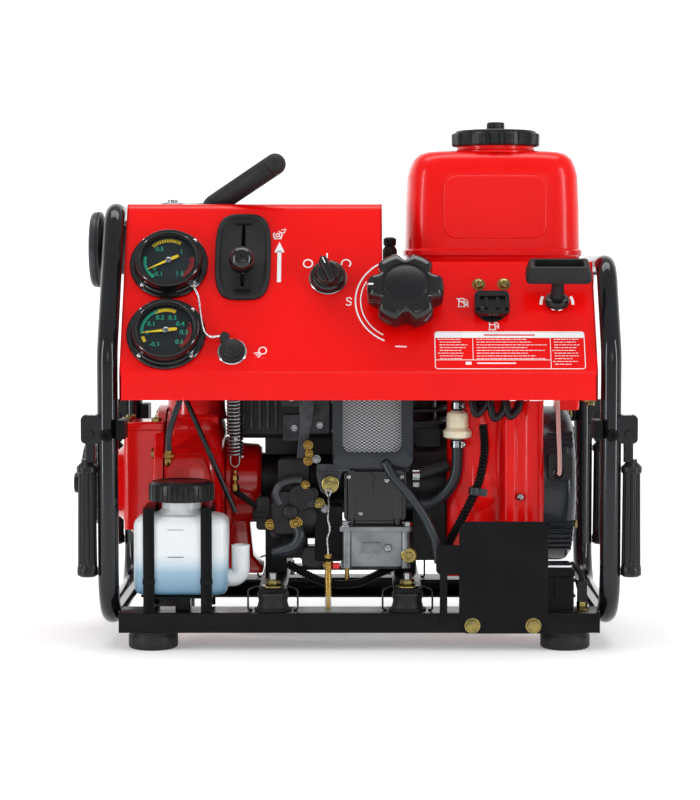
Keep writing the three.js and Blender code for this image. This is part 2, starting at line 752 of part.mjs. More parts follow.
const silencerY0 = 50;
const silencerDepth = axisY - cylinderSide / 2 - 3 - silencerY0;
const silencer = () => {
  const body = prism(roundedRect(-20, 196, 48, 330, 6), silencerDepth - 4).rotateX(Math.PI / 2)
    .translate(0, silencerY0 + silencerDepth, 0);
  const rim = prism(roundedRect(-28.6, 189, 58, 330, 10), 8).rotateX(Math.PI / 2).translate(0, silencerY0 + 8, 0);
  const recess = block(-17.7, silencerY0 - 5, 207, 63, 7, 116);
  return cut(join(body, rim), recess);
};
place('intake_silencer', silencer(), blackPlastic);

const carbZ0 = 127.3;
place('carburettor', join(
  block(-16.3, 58, carbZ0 + 8, 67, 38, 50), block(-10, 62, carbZ0, 54, 32, 10),
  alongY(rod(17, 94, axisY - caseR - gap, 10)).translate(17, 0, axisZ)), blackPlastic);
const bowl = () => join(
  block(-21.6, 44, carbZ0 - gap - 5, 79, 50, 5),
  block(-16.3, 48, 80.4, 67, 44, carbZ0 - gap - 84.4),
  rod(3, 66, 82, 8).translate(-13, 70, 0),
);
place('float_bowl', bowl(), aluminium);

const vacuumPump = () => join(
  alongX(rod(27, -96.6, -42.4, 16)).translate(0, 84, 137),
  block(-88, 70, 155, 34, 34, 40),
  block(-84, 90, 92, 28, 20, 40),
  alongX(rod(12, -112, -96, 10)).translate(0, 84, 137),
  rodBetween(at(-70, 84, 190), at(-56, 84, 262), 9),
  rodBetween(at(-104, 84, 137), at(crankEnd.x, crankEnd.y, 162), 5),
  rod(3, 160, springBottomZ - gap, 8).translate(crankEnd.x, crankEnd.y, 0),
  rodBetween(at(-82, 72, 95), at(-70, 60, 128), 8),
);
place('vacuum_pump', vacuumPump(), darkCast);

// fan housing with the fuel tank's bracket on top
const fanShroud = () => {
  const ring = onAxis(turned([
    [shroudR - sheetT, shroudX0 + sheetT], [40, shroudX0 + sheetT], [40, shroudX0], [shroudR, shroudX0],
    [shroudR, recoilX0 - gap], [shroudR - sheetT, recoilX0 - gap], [shroudR - sheetT, shroudX0 + sheetT]], 26));
  const shelfZ = tankBottomZ - gap - 3;
  const shelf = block(tankX0 + 40, tankY0 + 15, shelfZ, tankX1 - tankX0 - 60, tankY1 - tankY0 - 30, 3);
  const legs = [132, 186].map((x) => block(x, axisY - 34, axisZ + 60, 3, 68, shelfZ - axisZ - 58));
  const feet = block(128, axisY - 10, axisZ - shroudR - 20, 60, 20, 24);
  const room = onAxis(rod(shroudR - sheetT, shroudX0 + sheetT, recoilX0, 26));
  return join(ring, cut(join(shelf, ...legs, feet), room));
};
place('fan_shroud', fanShroud(), redPaint);

const fan = () => {
  const disc = rod(52, 140, 148, 18);
  const hub = rod(20, 136, 172, 14);
  const blades = Array.from({ length: fanBlades }, (_, i) => block(30, -1.5, 146, fanR - 30, 3, 26)
    .rotateZ((2 * Math.PI * i) / fanBlades));
  const bore = rod(shaftR + gap, 120, 200, 14);
  return onAxis(cut(join(disc, hub, ...blades), bore));
};
place('flywheel_fan', fan(), aluminium);

const recoilPost = 6;
const recoilHousing = () => {
  const cup = turned([
    [recoilR - sheetT, recoilX0], [recoilR, recoilX0], [recoilR, recoilX1 - 8], [recoilR - 8, recoilX1],
    [0, recoilX1], [0, recoilX1 - sheetT], [recoilR - 10, recoilX1 - sheetT],
    [recoilR - sheetT, recoilX1 - 10], [recoilR - sheetT, recoilX0]], 26);
  const post = rod(recoilPost, pulleyX - 8, recoilX1 - 1, 10);
  const ropeSlot = block(-40, -recoilR - 5, pulleyX - 4, 32, 14, 12);
  return alongX(cut(join(cup, post), ropeSlot)).translate(0, axisY, axisZ);
};
place('recoil_housing', recoilHousing(), blueGrey);

const pulley = () => onAxis(turned([
  [recoilPost + runClear, pulleyX - pulleyW / 2], [pulleyR, pulleyX - pulleyW / 2],
  [pulleyR, pulleyX - 3], [pulleyR - 6, pulleyX - 2], [pulleyR - 6, pulleyX + 2], [pulleyR, pulleyX + 3],
  [pulleyR, pulleyX + pulleyW / 2], [recoilPost + runClear, pulleyX + pulleyW / 2],
  [recoilPost + runClear, pulleyX - pulleyW / 2]], 18));
place('recoil_pulley', pulley(), blackPlastic);

// ---- pump ---------------------------------------------------------------------------------
const pumpCasing = () => {
  const shell = onAxis(turned([[0, volX0], [volR, volX0], [volR, volX1], [0, volX1]], 26));
  const riser = rod(riserR, axisZ, riserTopZ, 18).translate(riserX, dischargeY, 0);
  const flange = rod(couplingR, riserTopZ - 10, riserTopZ, 18).translate(riserX, dischargeY, 0);
  const chamber = onAxis(rod(impellerR + 8, volX0 - 5, volX1 - 14, 24));
  const riserBore = rod(riserBoreR, axisZ + 50, riserTopZ + 5, 16).translate(riserX - 4, dischargeY, 0);
  const bore = onAxis(rod(shaftR + runClear, volX0, volX1 + 5, 14));
  return cut(join(shell, riser, flange), chamber, riserBore, bore);
};
place('pump_casing', pumpCasing(), redPaint);

const impeller = () => {
  const disc = rod(impellerR, -182, -178, 24);
  const vanes = Array.from({ length: 6 }, (_, i) => block(16, -2, -200, impellerR - 18, 4, 20)
    .rotateZ((2 * Math.PI * i) / 6));
  const hub = rod(18, -204, -176, 14);
  const bore = rod(shaftR + gap, -220, -170, 14);
  return onAxis(cut(join(disc, hub, ...vanes), bore));
};
place('impeller', impeller(), [0xb08d57, 0.4, 1]);

const suctionCover = () => {
  const face = onAxis(turned([
    [portBoreR, portEndX], [portR, portEndX], [portR, suctionX], [volR - 30, suctionX + 12],
    [volR - 26, volX0 - 12], [volR, volX0 - 10], [volR, volX0 - gap], [portBoreR, volX0 - gap],
    [portBoreR, portEndX]], 24));
  const boxX0 = -258;
  const drum = block(boxX0, 96, 118, volX0 - gap - boxX0, 50, 112);
  const lid = block(boxX0 - 3, 93, 228, volX0 - gap - boxX0 + 3, 56, 9);
  const throat = onAxis(rod(portBoreR, portEndX - 5, volX0 + 5, 20));
  return cut(join(face, drum, lid), throat);
};
place('suction_cover', suctionCover(), redPaint);

const suctionCap = () => onAxis(turned([
  [0, capEndX], [capKnobR, capEndX], [capKnobR, capEndX + 5], [6, capEndX + 7], [6, portEndX - 9],
  [capR - 8, portEndX - 8], [capR, portEndX - 5], [capR, portEndX + 14], [portR + capFit, portEndX + 14],
  [portR + capFit, portEndX - gap], [0, portEndX - gap]], 24));
place('suction_cap', suctionCap(), blackPlastic);

const dischargeValve = () => {
  const z0 = riserTopZ + gap;
  const bodyX0 = -hoopX + tubeR + 5;
  const foot = rod(couplingR, z0, z0 + 9, 18).translate(riserX, dischargeY, 0);
  const elbow = rod(riserR + 2, z0, dischargeZ, 18).translate(riserX, dischargeY, 0);
  const pipe = alongX(turned([
    [0, dischargeEndX], [couplingR - 2, dischargeEndX], [couplingR, dischargeEndX + 3],
    [couplingR, dischargeEndX + 12], [dischargeNeckR, dischargeEndX + 15], [dischargeNeckR, bodyX0],
    [dischargeR, bodyX0 + 6], [dischargeR, riserX + 7], [dischargeR - 8, riserX + 31],
    [0, riserX + 35]], 20)).translate(0, dischargeY, dischargeZ);
  const boss = rod(12, dischargeZ, dischargeZ + dischargeR + 6, 14).translate(valveStemX, dischargeY, 0);
  const bore = join(
    alongX(rod(riserBoreR, dischargeEndX - 5, riserX + 10, 16)).translate(0, dischargeY, dischargeZ),
    rod(riserBoreR - 1, z0 - 5, dischargeZ, 16).translate(riserX, dischargeY, 0),
  );
  return cut(join(foot, elbow, pipe, boss), bore);
};
place('discharge_valve', dischargeValve(), aluminium);

const leverHubZ = dischargeZ + dischargeR + 6 + gap;
const dischargeLever = () => {
  const hub = rod(13, leverHubZ, leverHubZ + 9, 14).translate(valveStemX, dischargeY, 0);
  const armEnd = at(-160, 138, leverHubZ + 5);
  const arm = rodBetween(at(valveStemX, dischargeY, leverHubZ + 5), armEnd, 4.4, 10);
  const grip = rodBetween(at(-166, 142.5, leverHubZ + 1.5), at(-97, 90, 513), leverGripR, 14);
  const ball = new THREE.SphereGeometry(leverGripR + 0.2, 12, 8).translate(-91, 86, 517);
  return join(hub, arm, grip, ball);
};
place('discharge_lever', dischargeLever(), blackPlastic);

// ---- fuel ---------------------------------------------------------------------------------
const fuelTank = () => {
  const level = (inset, z) => [bowedOblong(tankX0, tankY0, tankX1, tankY1, inset, tankSquareness), z];
  const shell = lofted([
    level(10, tankBottomZ), level(4, tankBottomZ + 8), level(tankLip, tankSeamZ - 3),
    level(0, tankSeamZ - 3), level(0, tankSeamZ + 3), level(tankLip, tankSeamZ + 3),
    level(tankLip, tankTopZ - 20), level(8, tankTopZ - 6), level(18, tankTopZ)]);
  const neck = rod(neckR, tankTopZ - 2, fuelCapZ - gap, 18).translate(neckX, neckY, 0);
  const room = lofted([level(tankLip + 8 + tankWall, tankBottomZ + tankWall),
    level(tankLip + 8 + tankWall, tankTopZ - 10), level(20 + tankWall, tankTopZ - tankWall)]);
  const mouth = rod(neckR - 5, tankTopZ - 10, fuelCapZ + 5, 18).translate(neckX, neckY, 0);
  return cut(join(shell, neck), room, mouth);
};
place('fuel_tank', fuelTank(), redPaint);

const ribbedCap = (r, h, ribs, ribDepth) => {
  const shape = new THREE.Shape();
  const steps = ribs * 2;
  for (let i = 0; i < steps; i += 1) {
    const angle = (2 * Math.PI * i) / steps;
    const reach = i % 2 ? r : r - ribDepth;
    shape[i ? 'lineTo' : 'moveTo'](reach * Math.cos(angle), reach * Math.sin(angle));
  }
  return prism(shape, h);
};
const fuelCap = () => join(ribbedCap(fuelCapR, fuelCapH - 2, 14, 2.5), rod(fuelCapR - 4, 0, fuelCapH, 18),
  rod(ventR, fuelCapH - 1, fuelCapH + ventH, 10));
place('fuel_cap', fuelCap(), blackPlastic).position.set(neckX, neckY, fuelCapZ);

const filterX = 106.8;
const filterY = 76;
const fuelFilter = () => turned([
  [0, 196], [4.2, 196], [4.2, 214], [9, 216], [12, 220], [12, 224], [15, 226], [15, 234], [12, 236],
  [12, 247], [8, 252], [4.2, 253], [4.2, 262], [0, 262]], 14).translate(filterX, filterY, 0);
place('fuel_filter', fuelFilter(), [0xe4dcc4, 0.4, 0]);

const hoseR = 5;
const fuelHose = () => tube(smoothRoute([
  at(filterX, filterY, 196 - gap), at(filterX, filterY, 182), at(104, filterY, 166), at(90, filterY, 152),
  at(70, 78, 148), at(50.7 + gap, 78, 148)], 10), hoseR, 8);
place('fuel_hose', fuelHose(), rubber);

const conduitR = 4.8;
const conduit = () => tube(smoothRoute([
  at(131, 62, 262), at(134, 58, 232), at(135, 55, 206), at(128, 52, 172), at(112, 50, 138),
  at(98, 47, 112), at(92, 45, 94)], 14), conduitR, 8);
place('wiring_conduit', conduit(), blackPlastic);

const ropeR = 2.6;
const [ropeTopY, ropeTopZ] = slopePoint(starterS, panelT + 6);
const rope = () => tube(smoothRoute([
  at(starterX, ropeTopY, ropeTopZ), at(starterX + 0.8, 62, 320), at(starterX + 2.5, 67, 260),
  at(pulleyX - 1, 68, 215), at(pulleyX, 70, 188), at(pulleyX, 80, 174)], 14), ropeR, 8);
place('starter_rope', rope(), [0xc9a5a0, 0.8, 0]);

// ---- front equipment ----------------------------------------------------------------------
const oilTank = () => {
  const level = (inset, z) => [bowedOblong(oilX0, oilY0, oilX1, oilY0 + oilDepth, inset, 6, 24), z];
  const body = lofted([level(3, oilZ0), level(0, oilZ0 + 4), level(0, oilTopZ - 6), level(5, oilTopZ)]);
  const neck = rod(oilNeckR, oilTopZ - 2, oilCapZ - gap, 16).translate(oilNeckX, oilNeckY, 0);
  const room = lofted([level(6 + oilWall, oilZ0 + oilWall), level(6 + oilWall, oilTopZ - oilWall)]);
  const mouth = rod(oilNeckR - 3, oilTopZ - 10, oilCapZ + 5, 16).translate(oilNeckX, oilNeckY, 0);
  const spout = join(
    alongX(rod(9, oilX1 - 4, -121, 10)).translate(0, oilNeckY, 74),
    rod(7.5, 70, 108, 10).translate(-127, oilNeckY, 0),
  );
  return cut(join(body, neck, spout), room, mouth);
};
place('oil_tank', oilTank(), [0xeef0ef, 0.4, 0]);
const oilCap = () => join(ribbedCap(oilCapR, oilCapH - 2, 24, 1.2), rod(oilCapR - 3, 0, oilCapH, 18));
place('oil_cap', oilCap(), blackPlastic).position.set(oilNeckX, oilNeckY, oilCapZ);

const batteryZ0 = railTopZ + gap;
place('battery', join(
  block(batteryX0, batteryY0, batteryZ0, batteryX1 - batteryX0, batteryDepth, batteryH - 6),
  block(batteryX0 - 1, batteryY0 - 1, batteryZ0 + batteryH - 9, batteryX1 - batteryX0 + 2, batteryDepth + 2, 9),
), blackPlastic);

const guard = () => {
  const y0 = -guardT - gap;
  const turnFlat = (geometry) => geometry.rotateX(Math.PI / 2).translate(0, y0 + guardT, 0);
  const plate = turnFlat(prism(roundedRect(guardX0, guardZ0, guardX1, guardTopZ, 9), guardT));
  const ear = turnFlat(prism(roundedRect(81, 82, guardX0 + 12, 113, 5), guardT));
  const leg = block(85, y0, railTopZ - 12, 8, guardT, 60);
  const bolts = [119.5, 184].map((x) => alongY(rod(7, -5, 1, 6)).translate(x, y0, 27.5));
  return join(plate, ear, leg, ...bolts);
};
place('battery_guard', guard(), blackPaint);

// ---- origin at the middle of the bottom of the whole --------------------------------------
machine.updateMatrixWorld(true);
const whole = new THREE.Box3().setFromObject(machine, true);
const middle = whole.getCenter(new THREE.Vector3());
machine.position.set(-middle.x, -middle.y, -whole.min.z);

export default machine;
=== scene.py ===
import math
import random
import bpy
import bmesh
from mathutils import Matrix, Vector


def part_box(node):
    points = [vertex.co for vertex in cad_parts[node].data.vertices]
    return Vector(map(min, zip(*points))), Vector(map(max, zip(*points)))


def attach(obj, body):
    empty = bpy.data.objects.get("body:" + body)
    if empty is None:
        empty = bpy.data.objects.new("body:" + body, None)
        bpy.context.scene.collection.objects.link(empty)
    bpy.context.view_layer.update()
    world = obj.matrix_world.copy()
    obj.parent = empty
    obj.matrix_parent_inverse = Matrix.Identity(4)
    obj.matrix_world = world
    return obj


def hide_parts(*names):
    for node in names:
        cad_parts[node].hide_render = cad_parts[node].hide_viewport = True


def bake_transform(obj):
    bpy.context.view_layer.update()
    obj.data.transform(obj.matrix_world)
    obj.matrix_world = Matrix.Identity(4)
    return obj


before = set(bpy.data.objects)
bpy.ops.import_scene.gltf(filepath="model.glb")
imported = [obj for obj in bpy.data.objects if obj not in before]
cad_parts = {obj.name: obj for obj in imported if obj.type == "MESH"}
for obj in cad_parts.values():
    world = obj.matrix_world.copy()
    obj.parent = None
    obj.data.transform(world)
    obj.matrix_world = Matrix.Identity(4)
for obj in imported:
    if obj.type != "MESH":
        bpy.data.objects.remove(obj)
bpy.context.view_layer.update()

# the machine is drawn in millimetres: x from its middle, y from the front of the panel, z from the floor
footLow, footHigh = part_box("foot_front_left")
footFromMiddle = (-220, 26)
originX = (footLow[0] + footHigh[0]) / 2 - footFromMiddle[0] / 1000
originY = (footLow[1] + footHigh[1]) / 2 - footFromMiddle[1] / 1000
machine = Matrix.Translation((originX, originY, 0)) @ Matrix.Scale(0.001, 4)
lean = math.radians(30)
slopeZ = 297
slope = machine @ Matrix.Translation((0, 0, slopeZ)) @ Matrix.Rotation(math.pi / 2 - lean, 4, "X")

# camera
view = {"place": (-9.8, -2400, 407), "down": 3.355, "lens": 102.87}
cameraData = bpy.data.cameras.new("camera")
cameraData.lens = view["lens"]
camera = bpy.data.objects.new("camera", cameraData)
camera.location = machine @ Vector(view["place"])
camera.rotation_euler = (math.radians(90 - view["down"]), 0, 0)
bpy.context.scene.collection.objects.link(camera)
bpy.context.scene.camera = camera
print("camera in place")


# shader maths
class Wire:
    def __init__(self, paint, socket):
        self.paint = paint
        self.socket = socket

    def sum(self, how, other, flipped=False):
        pair = (other, self) if flipped else (self, other)
        return self.paint.node("ShaderNodeMath", {"operation": how}, dict(enumerate(pair)))

    def __add__(self, other):
        return self.sum("ADD", other)

    def __radd__(self, other):
        return self.sum("ADD", other, True)

    def __sub__(self, other):
        return self.sum("SUBTRACT", other)

    def __rsub__(self, other):
        return self.sum("SUBTRACT", other, True)

    def __mul__(self, other):
        return self.sum("MULTIPLY", other)

    def __rmul__(self, other):
        return self.sum("MULTIPLY", other, True)


class Paint:
    def __init__(self, name):
        self.material = bpy.data.materials.new(name)
        self.material.use_nodes = True
        self.tree = self.material.node_tree
        self.tree.nodes.clear()

    def node(self, kind, settings=None, sockets=None, output=0):
        made = self.tree.nodes.new(kind)
        for key, value in (settings or {}).items():
            if key == "stops":
                ramp = made.color_ramp
                while len(ramp.elements) < len(value):
                    ramp.elements.new(0.5)
                for element, (place, colour) in zip(ramp.elements, value):
                    element.position = place
                    element.color = (*colour, 1)
            else:
                setattr(made, key, value)
        for key, value in (sockets or {}).items():
            if isinstance(value, Wire):
                self.tree.links.new(value.socket, made.inputs[key])
            elif isinstance(value, tuple) and len(value) == 3 and made.inputs[key].type == "RGBA":
                made.inputs[key].default_value = (*value, 1)
            else:
                made.inputs[key].default_value = value
        return Wire(self, made.outputs[output]) if made.outputs else None

    def place(self):
        return self.node("ShaderNodeTexCoord", output="Object")

    def noise(self, scale, detail=2, rough=0.5, where=None):
        return self.node("ShaderNodeTexNoise", {}, {
            "Vector": where or self.place(), "Scale": scale, "Detail": detail, "Roughness": rough})

    def between(self, mask, low, high):
        return self.node("ShaderNodeMix", {"data_type": "RGBA"}, {0: mask, 6: low, 7: high}, 2)

    def squeeze(self, wire, low, high, newLow=0, newHigh=1):
        return self.node("ShaderNodeMapRange", {}, {
            "Value": wire, "From Min": low, "From Max": high, "To Min": newLow, "To Max": newHigh})

    def bump(self, height, strength, distance):
        return self.node("ShaderNodeBump", {}, {"Height": height, "Strength": strength,
            "Distance": distance})

    def surface(self, **sockets):
        names = {"colour": "Base Color", "rough": "Roughness", "metal": "Metallic", "coat": "Coat Weight",
            "coatRough": "Coat Roughness", "normal": "Normal", "alpha": "Alpha", "ior": "IOR",
            "glow": "Emission Strength", "glowColour": "Emission Color",
            "through": "Transmission Weight", "sheen": "Sheen Weight", "shine": "Specular IOR Level"}
        shader = self.node("ShaderNodeBsdfPrincipled", {}, {names[k]: v for k, v in sockets.items()})
        self.node("ShaderNodeOutputMaterial", {}, {"Surface": shader})
        return self.material


# colour, second colour, how mottled, roughness, its spread, metal, coat, mirror,
# grain per metre, grain depth in mm
finishValues = {
    "redPaint": ((0.80, 0.0022, 0.0018), (0.74, 0.002, 0.0016), 9, 0.24, 0.05, 0, 0.12, 0.22, 700, 0.008),
    "redCasting": ((0.66, 0.003, 0.003), (0.58, 0.003, 0.003), 22, 0.2, 0.08, 0, 0.5, 0.35, 45, 1.6),
    "blackPaint": ((0.004, 0.004, 0.005), (0.007, 0.008, 0.010), 14, 0.13, 0.06, 0, 0.15, 0.35, 500, 0.01),
    "railPaint": ((0.003, 0.003, 0.0035), (0.005, 0.005, 0.006), 14, 0.3, 0.08, 0, 0.05, 0.12, 600, 0.01),
    "blackSatin": ((0.004, 0.004, 0.0045), (0.007, 0.007, 0.008), 22, 0.42, 0.1, 0, 0, 0.1, 900, 0.03),
    "blackPlastic": ((0.006, 0.006, 0.007), (0.010, 0.010, 0.012), 25, 0.3, 0.1, 0, 0, 0.3, 1400, 0.03),
    "glossPlastic": ((0.004, 0.004, 0.0045), (0.007, 0.007, 0.008), 25, 0.13, 0.06, 0, 0.15, 0.45, 900,
    0.01),
    "rubber": ((0.008, 0.008, 0.009), (0.014, 0.014, 0.015), 40, 0.55, 0.15, 0, 0, 0.3, 1100, 0.05),
    "hoseRubber": ((0.012, 0.016, 0.021), (0.019, 0.025, 0.032), 40, 0.34, 0.12, 0, 0, 0.45, 900, 0.03),
    "darkCasting": ((0.018, 0.018, 0.020), (0.008, 0.008, 0.009), 45, 0.42, 0.16, 0.35, 0, 0.35, 420, 0.25),
    "greyCasting": ((0.075, 0.080, 0.086), (0.030, 0.032, 0.035), 50, 0.36, 0.16, 0.6, 0, 0.4, 420, 0.15),
    "aluminium": ((0.26, 0.275, 0.29), (0.17, 0.18, 0.19), 40, 0.34, 0.12, 0.85, 0, 0.5, 700, 0.06),
    "steel": ((0.42, 0.43, 0.45), (0.28, 0.29, 0.30), 60, 0.22, 0.1, 1, 0, 0.5, 900, 0.02),
    "chrome": ((0.70, 0.71, 0.73), (0.6, 0.61, 0.63), 60, 0.1, 0.05, 1, 0, 0.5, 900, 0.005),
    "brass": ((0.44, 0.28, 0.07), (0.27, 0.17, 0.045), 70, 0.26, 0.1, 1, 0, 0.5, 800, 0.02),
    "zincGold": ((0.36, 0.28, 0.09), (0.20, 0.17, 0.07), 90, 0.26, 0.1, 1, 0, 0.5, 800, 0.02),
    "greyPaint": ((0.010, 0.013, 0.018), (0.017, 0.022, 0.029), 18, 0.24, 0.08, 0, 0.1, 0.35, 800, 0.03),
    "creamPlastic": ((0.86, 0.82, 0.62), (0.78, 0.71, 0.48), 35, 0.32, 0.1, 0, 0.1, 0.4, 700, 0.02),
    "milkPlastic": ((0.82, 0.83, 0.84), (0.72, 0.75, 0.77), 14, 0.32, 0.1, 0, 0.1, 0.4, 140, 0.2),
    "whiteInk": ((0.86, 0.86, 0.86), (0.78, 0.78, 0.78), 60, 0.4, 0.1, 0, 0, 0.3, 900, 0.01),
    "redInk": ((0.70, 0.02, 0.02), (0.60, 0.02, 0.02), 60, 0.4, 0.1, 0, 0, 0.3, 900, 0.01),
    "greenInk": ((0.01, 0.50, 0.30), (0.01, 0.42, 0.26), 60, 0.45, 0.1, 0, 0, 0.3, 900, 0.01),
    "yellowInk": ((0.85, 0.62, 0.02), (0.75, 0.52, 0.02), 60, 0.45, 0.1, 0, 0, 0.3, 900, 0.01),
    "dialFace": ((0.008, 0.014, 0.018), (0.012, 0.019, 0.024), 30, 0.5, 0.1, 0, 0, 0.2, 900, 0.01),
    "redCable": ((0.65, 0.02, 0.02), (0.5, 0.02, 0.02), 60, 0.3, 0.1, 0, 0, 0.4, 900, 0.02),
    "bronze": ((0.45, 0.28, 0.12), (0.32, 0.2, 0.09), 50, 0.4, 0.15, 0.9, 0, 0.5, 500, 0.1),
    }
finishes = {}
for name, (first, second, patch, rough, spread, metal, coat, mirror, grain, depth) in finishValues.items():
    paint = Paint(name)
    broad = paint.noise(patch, 4, 0.6)
    fine = paint.noise(grain, 2, 0.5)
    scuffs = paint.noise(patch * 7, 3, 0.7)
    finishes[name] = paint.surface(
        colour=paint.between(paint.squeeze(broad, 0.35, 0.65), first, second),
        rough=rough + (scuffs - 0.5) * spread * 2,
        metal=metal, coat=coat, coatRough=0.06, shine=mirror,
        normal=paint.bump(fine, 0.6, depth * 0.001))

paint = Paint("clearLens")
smudge = paint.noise(35, 3, 0.6)
finishes["clearLens"] = paint.surface(colour=(0.02, 0.02, 0.02), rough=0.02 + smudge * 0.03, alpha=0.06,
    ior=1.45)

# translucent tank: milky wall with blue oil standing in it
oilLevel = {"height": 92, "soft": 9}
paint = Paint("oilTankPlastic")
height = paint.node("ShaderNodeSeparateXYZ", {}, {0: paint.place()}, 2)
ripple = paint.noise(22, 3, 0.5)
wet = paint.squeeze(height + (ripple - 0.5) * 0.004, (oilLevel["height"] + oilLevel["soft"]) / 1000,
    (oilLevel["height"] - oilLevel["soft"]) / 1000)
# painted shade: the oil's blue darkens from the oil line down to the tank bottom, as if less light reached
# down through it
deep = paint.squeeze(height, oilLevel["height"] / 1000, 0.06)
oilBlueWithPaintedShade = paint.between(deep, (0.36, 0.52, 0.63), (0.11, 0.24, 0.36))
finishes["oilTankPlastic"] = paint.surface(colour=paint.between(wet,
    paint.between(paint.noise(14, 2), (0.80, 0.82, 0.83), (0.70, 0.73, 0.75)), oilBlueWithPaintedShade),
    rough=0.3 + (paint.noise(90, 2) - 0.5) * 0.1, coat=0.15, normal=paint.bump(paint.noise(140, 3, 0.5),
    0.4, 0.0002))

# woven intake screen
paint = Paint("wireScreen")
where = paint.place()
strand = {"pitch": 620}
axes = [paint.node("ShaderNodeSeparateXYZ", {}, {0: where}, k) for k in (0, 2)]
across, up = axes
row = paint.node("ShaderNodeMath", {"operation": "SINE"}, {0: (up +
    across * 0.6) * (strand["pitch"] * math.pi)})
col = paint.node("ShaderNodeMath", {"operation": "SINE"},
    {0: (up - across * 0.6) * (strand["pitch"] * math.pi)})
weave = paint.squeeze(col * 0.5 + row * 0.5, -0.5, 0.6)
finishes["wireScreen"] = paint.surface(
    colour=paint.between(weave, (0.006, 0.006, 0.007), (0.50, 0.51, 0.53)), metal=weave * 0.9,
    rough=0.35, normal=paint.bump(weave, 0.9, 0.0008))

# braided starter rope
paint = Paint("braidedRope")
where = paint.place()
height = paint.node("ShaderNodeSeparateXYZ", {}, {0: where}, 2)
acrossRope = paint.node("ShaderNodeSeparateXYZ", {}, {0: where}, 0)
twist = paint.node("ShaderNodeMath", {"operation": "SINE"}, {0: height * 1900 + acrossRope * 2200})
finishes["braidedRope"] = paint.surface(colour=paint.between(paint.squeeze(twist, -0.6, 0.6),
    (0.62, 0.20, 0.17), (0.82, 0.66, 0.60)), rough=0.7, normal=paint.bump(twist, 0.7, 0.0006))
print("finishes mixed")


# shapes, as (points, faces) in millimetres
def turned(profile, sides=64):
    points, faces, rings = [], [], []
    for r, z in profile:
        if r < 1e-6:
            rings.append([len(points)])
            points.append((0, 0, z))
        else:
            rings.append(list(range(len(points), len(points) + sides)))
            points += [(r * math.cos(2 * math.pi * i / sides), r * math.sin(2 * math.pi * i / sides), z)
                for i in range(sides)]
    for low, high in zip(rings, rings[1:]):
        for i in range(sides):
            j = (i + 1) % sides
            if len(low) == 1 and len(high) > 1:
                faces.append((low[0], high[j], high[i]))
            elif len(high) == 1 and len(low) > 1:
                faces.append((low[i], low[j], high[0]))
            elif len(low) > 1:
                faces.append((low[i], low[j], high[j], high[i]))
    return points, faces


def slab(outline, z0, z1):
    n = len(outline)
    points = [(x, y, z) for z in (z0, z1) for x, y in outline]
    faces = [tuple(reversed(range(n))), tuple(range(n, 2 * n))]
    faces += [(i, (i + 1) % n, (i + 1) % n + n, i + n) for i in range(n)]
    return points, faces


def stack(levels):
    n = len(levels[0][0])
    points = [(x, y, z) for outline, z in levels for x, y in outline]
    faces = [tuple(reversed(range(n))), tuple(range((len(levels) - 1) * n, len(levels) * n))]
    for k in range(len(levels) - 1):
        faces += [(k * n + i, k * n + (i + 1) % n, (k + 1) * n + (i + 1) % n, (k + 1) * n + i)
            for i in range(n)]
    return points, faces


def swept(path, radius, sides=20, closed=False):
    path = [Vector(p) for p in path]
    n = len(path)
    radii = radius if isinstance(radius, (list, tuple)) else [radius] * n
    points, faces = [], []
    along = []
    for i in range(n):
        before = path[(i - 1) % n] if closed or i else path[i]
        after = path[(i + 1) % n] if closed or i < n - 1 else path[i]
        along.append((after - before).normalized())
    side = along[0].orthogonal().normalized()
    for i in range(n):
        side = (side - along[i] * side.dot(along[i])).normalized()
        other = along[i].cross(side)
        points += [tuple(path[i] + (side * math.cos(a) + other * math.sin(a)) * radii[i])
            for a in (2 * math.pi * k / sides for k in range(sides))]
    for i in range(n if closed else n - 1):
        j = (i + 1) % n
        faces += [(i * sides + k, i * sides + (k + 1) % sides, j * sides + (k + 1) % sides, j * sides + k)
            for k in range(sides)]
    if not closed:
        faces += [tuple(reversed(range(sides))), tuple(range((n - 1) * sides, n * sides))]
    return points, faces


def box(x0, y0, z0, x1, y1, z1):
    return slab([(x0, y0), (x1, y0), (x1, y1), (x0, y1)], z0, z1)


def moved(shape, *steps):
    matrix = Matrix.Identity(4)
    for step in steps:
        matrix = (Matrix.Translation(step) if isinstance(step, tuple) else step) @ matrix
    return [tuple(matrix @ Vector(p)) for p in shape[0]], shape[1]


def turn(degrees, axis):
    return Matrix.Rotation(math.radians(degrees), 4, axis)


def together(*shapes):
    points, faces = [], []
    for shapePoints, shapeFaces in shapes:
        faces += [tuple(i + len(points) for i in face) for face in shapeFaces]
        points += shapePoints
    return points, faces


alongX = turn(90, "Y")
alongY = turn(-90, "X")
towardFront = turn(90, "X")


def rounded(x0, y0, x1, y1, r, steps=6):
    outline = []
    for cx, cy, start in ((x1 - r, y0 + r, -90), (x1 - r, y1 - r, 0), (x0 + r, y1 - r, 90),
            (x0 + r, y0 + r, 180)):
        outline += [(cx + r * math.cos(math.radians(start + 90 * k / steps)),
            cy + r * math.sin(math.radians(start + 90 * k / steps))) for k in range(steps + 1)]
    return outline


def bowed(x0, y0, x1, y1, inset, squareness, count=72):
    outline = []
    for i in range(count):
        angle = 2 * math.pi * (i + 0.5) / count
        c, s = math.cos(angle), math.sin(angle)
        outline.append(((x0 + x1) / 2 +
            ((x1 - x0) / 2 - inset) * math.copysign(abs(c) ** (2 / squareness), c),
            (y0 + y1) / 2 + ((y1 - y0) / 2 - inset) * math.copysign(abs(s) ** (2 / squareness), s)))
    return outline


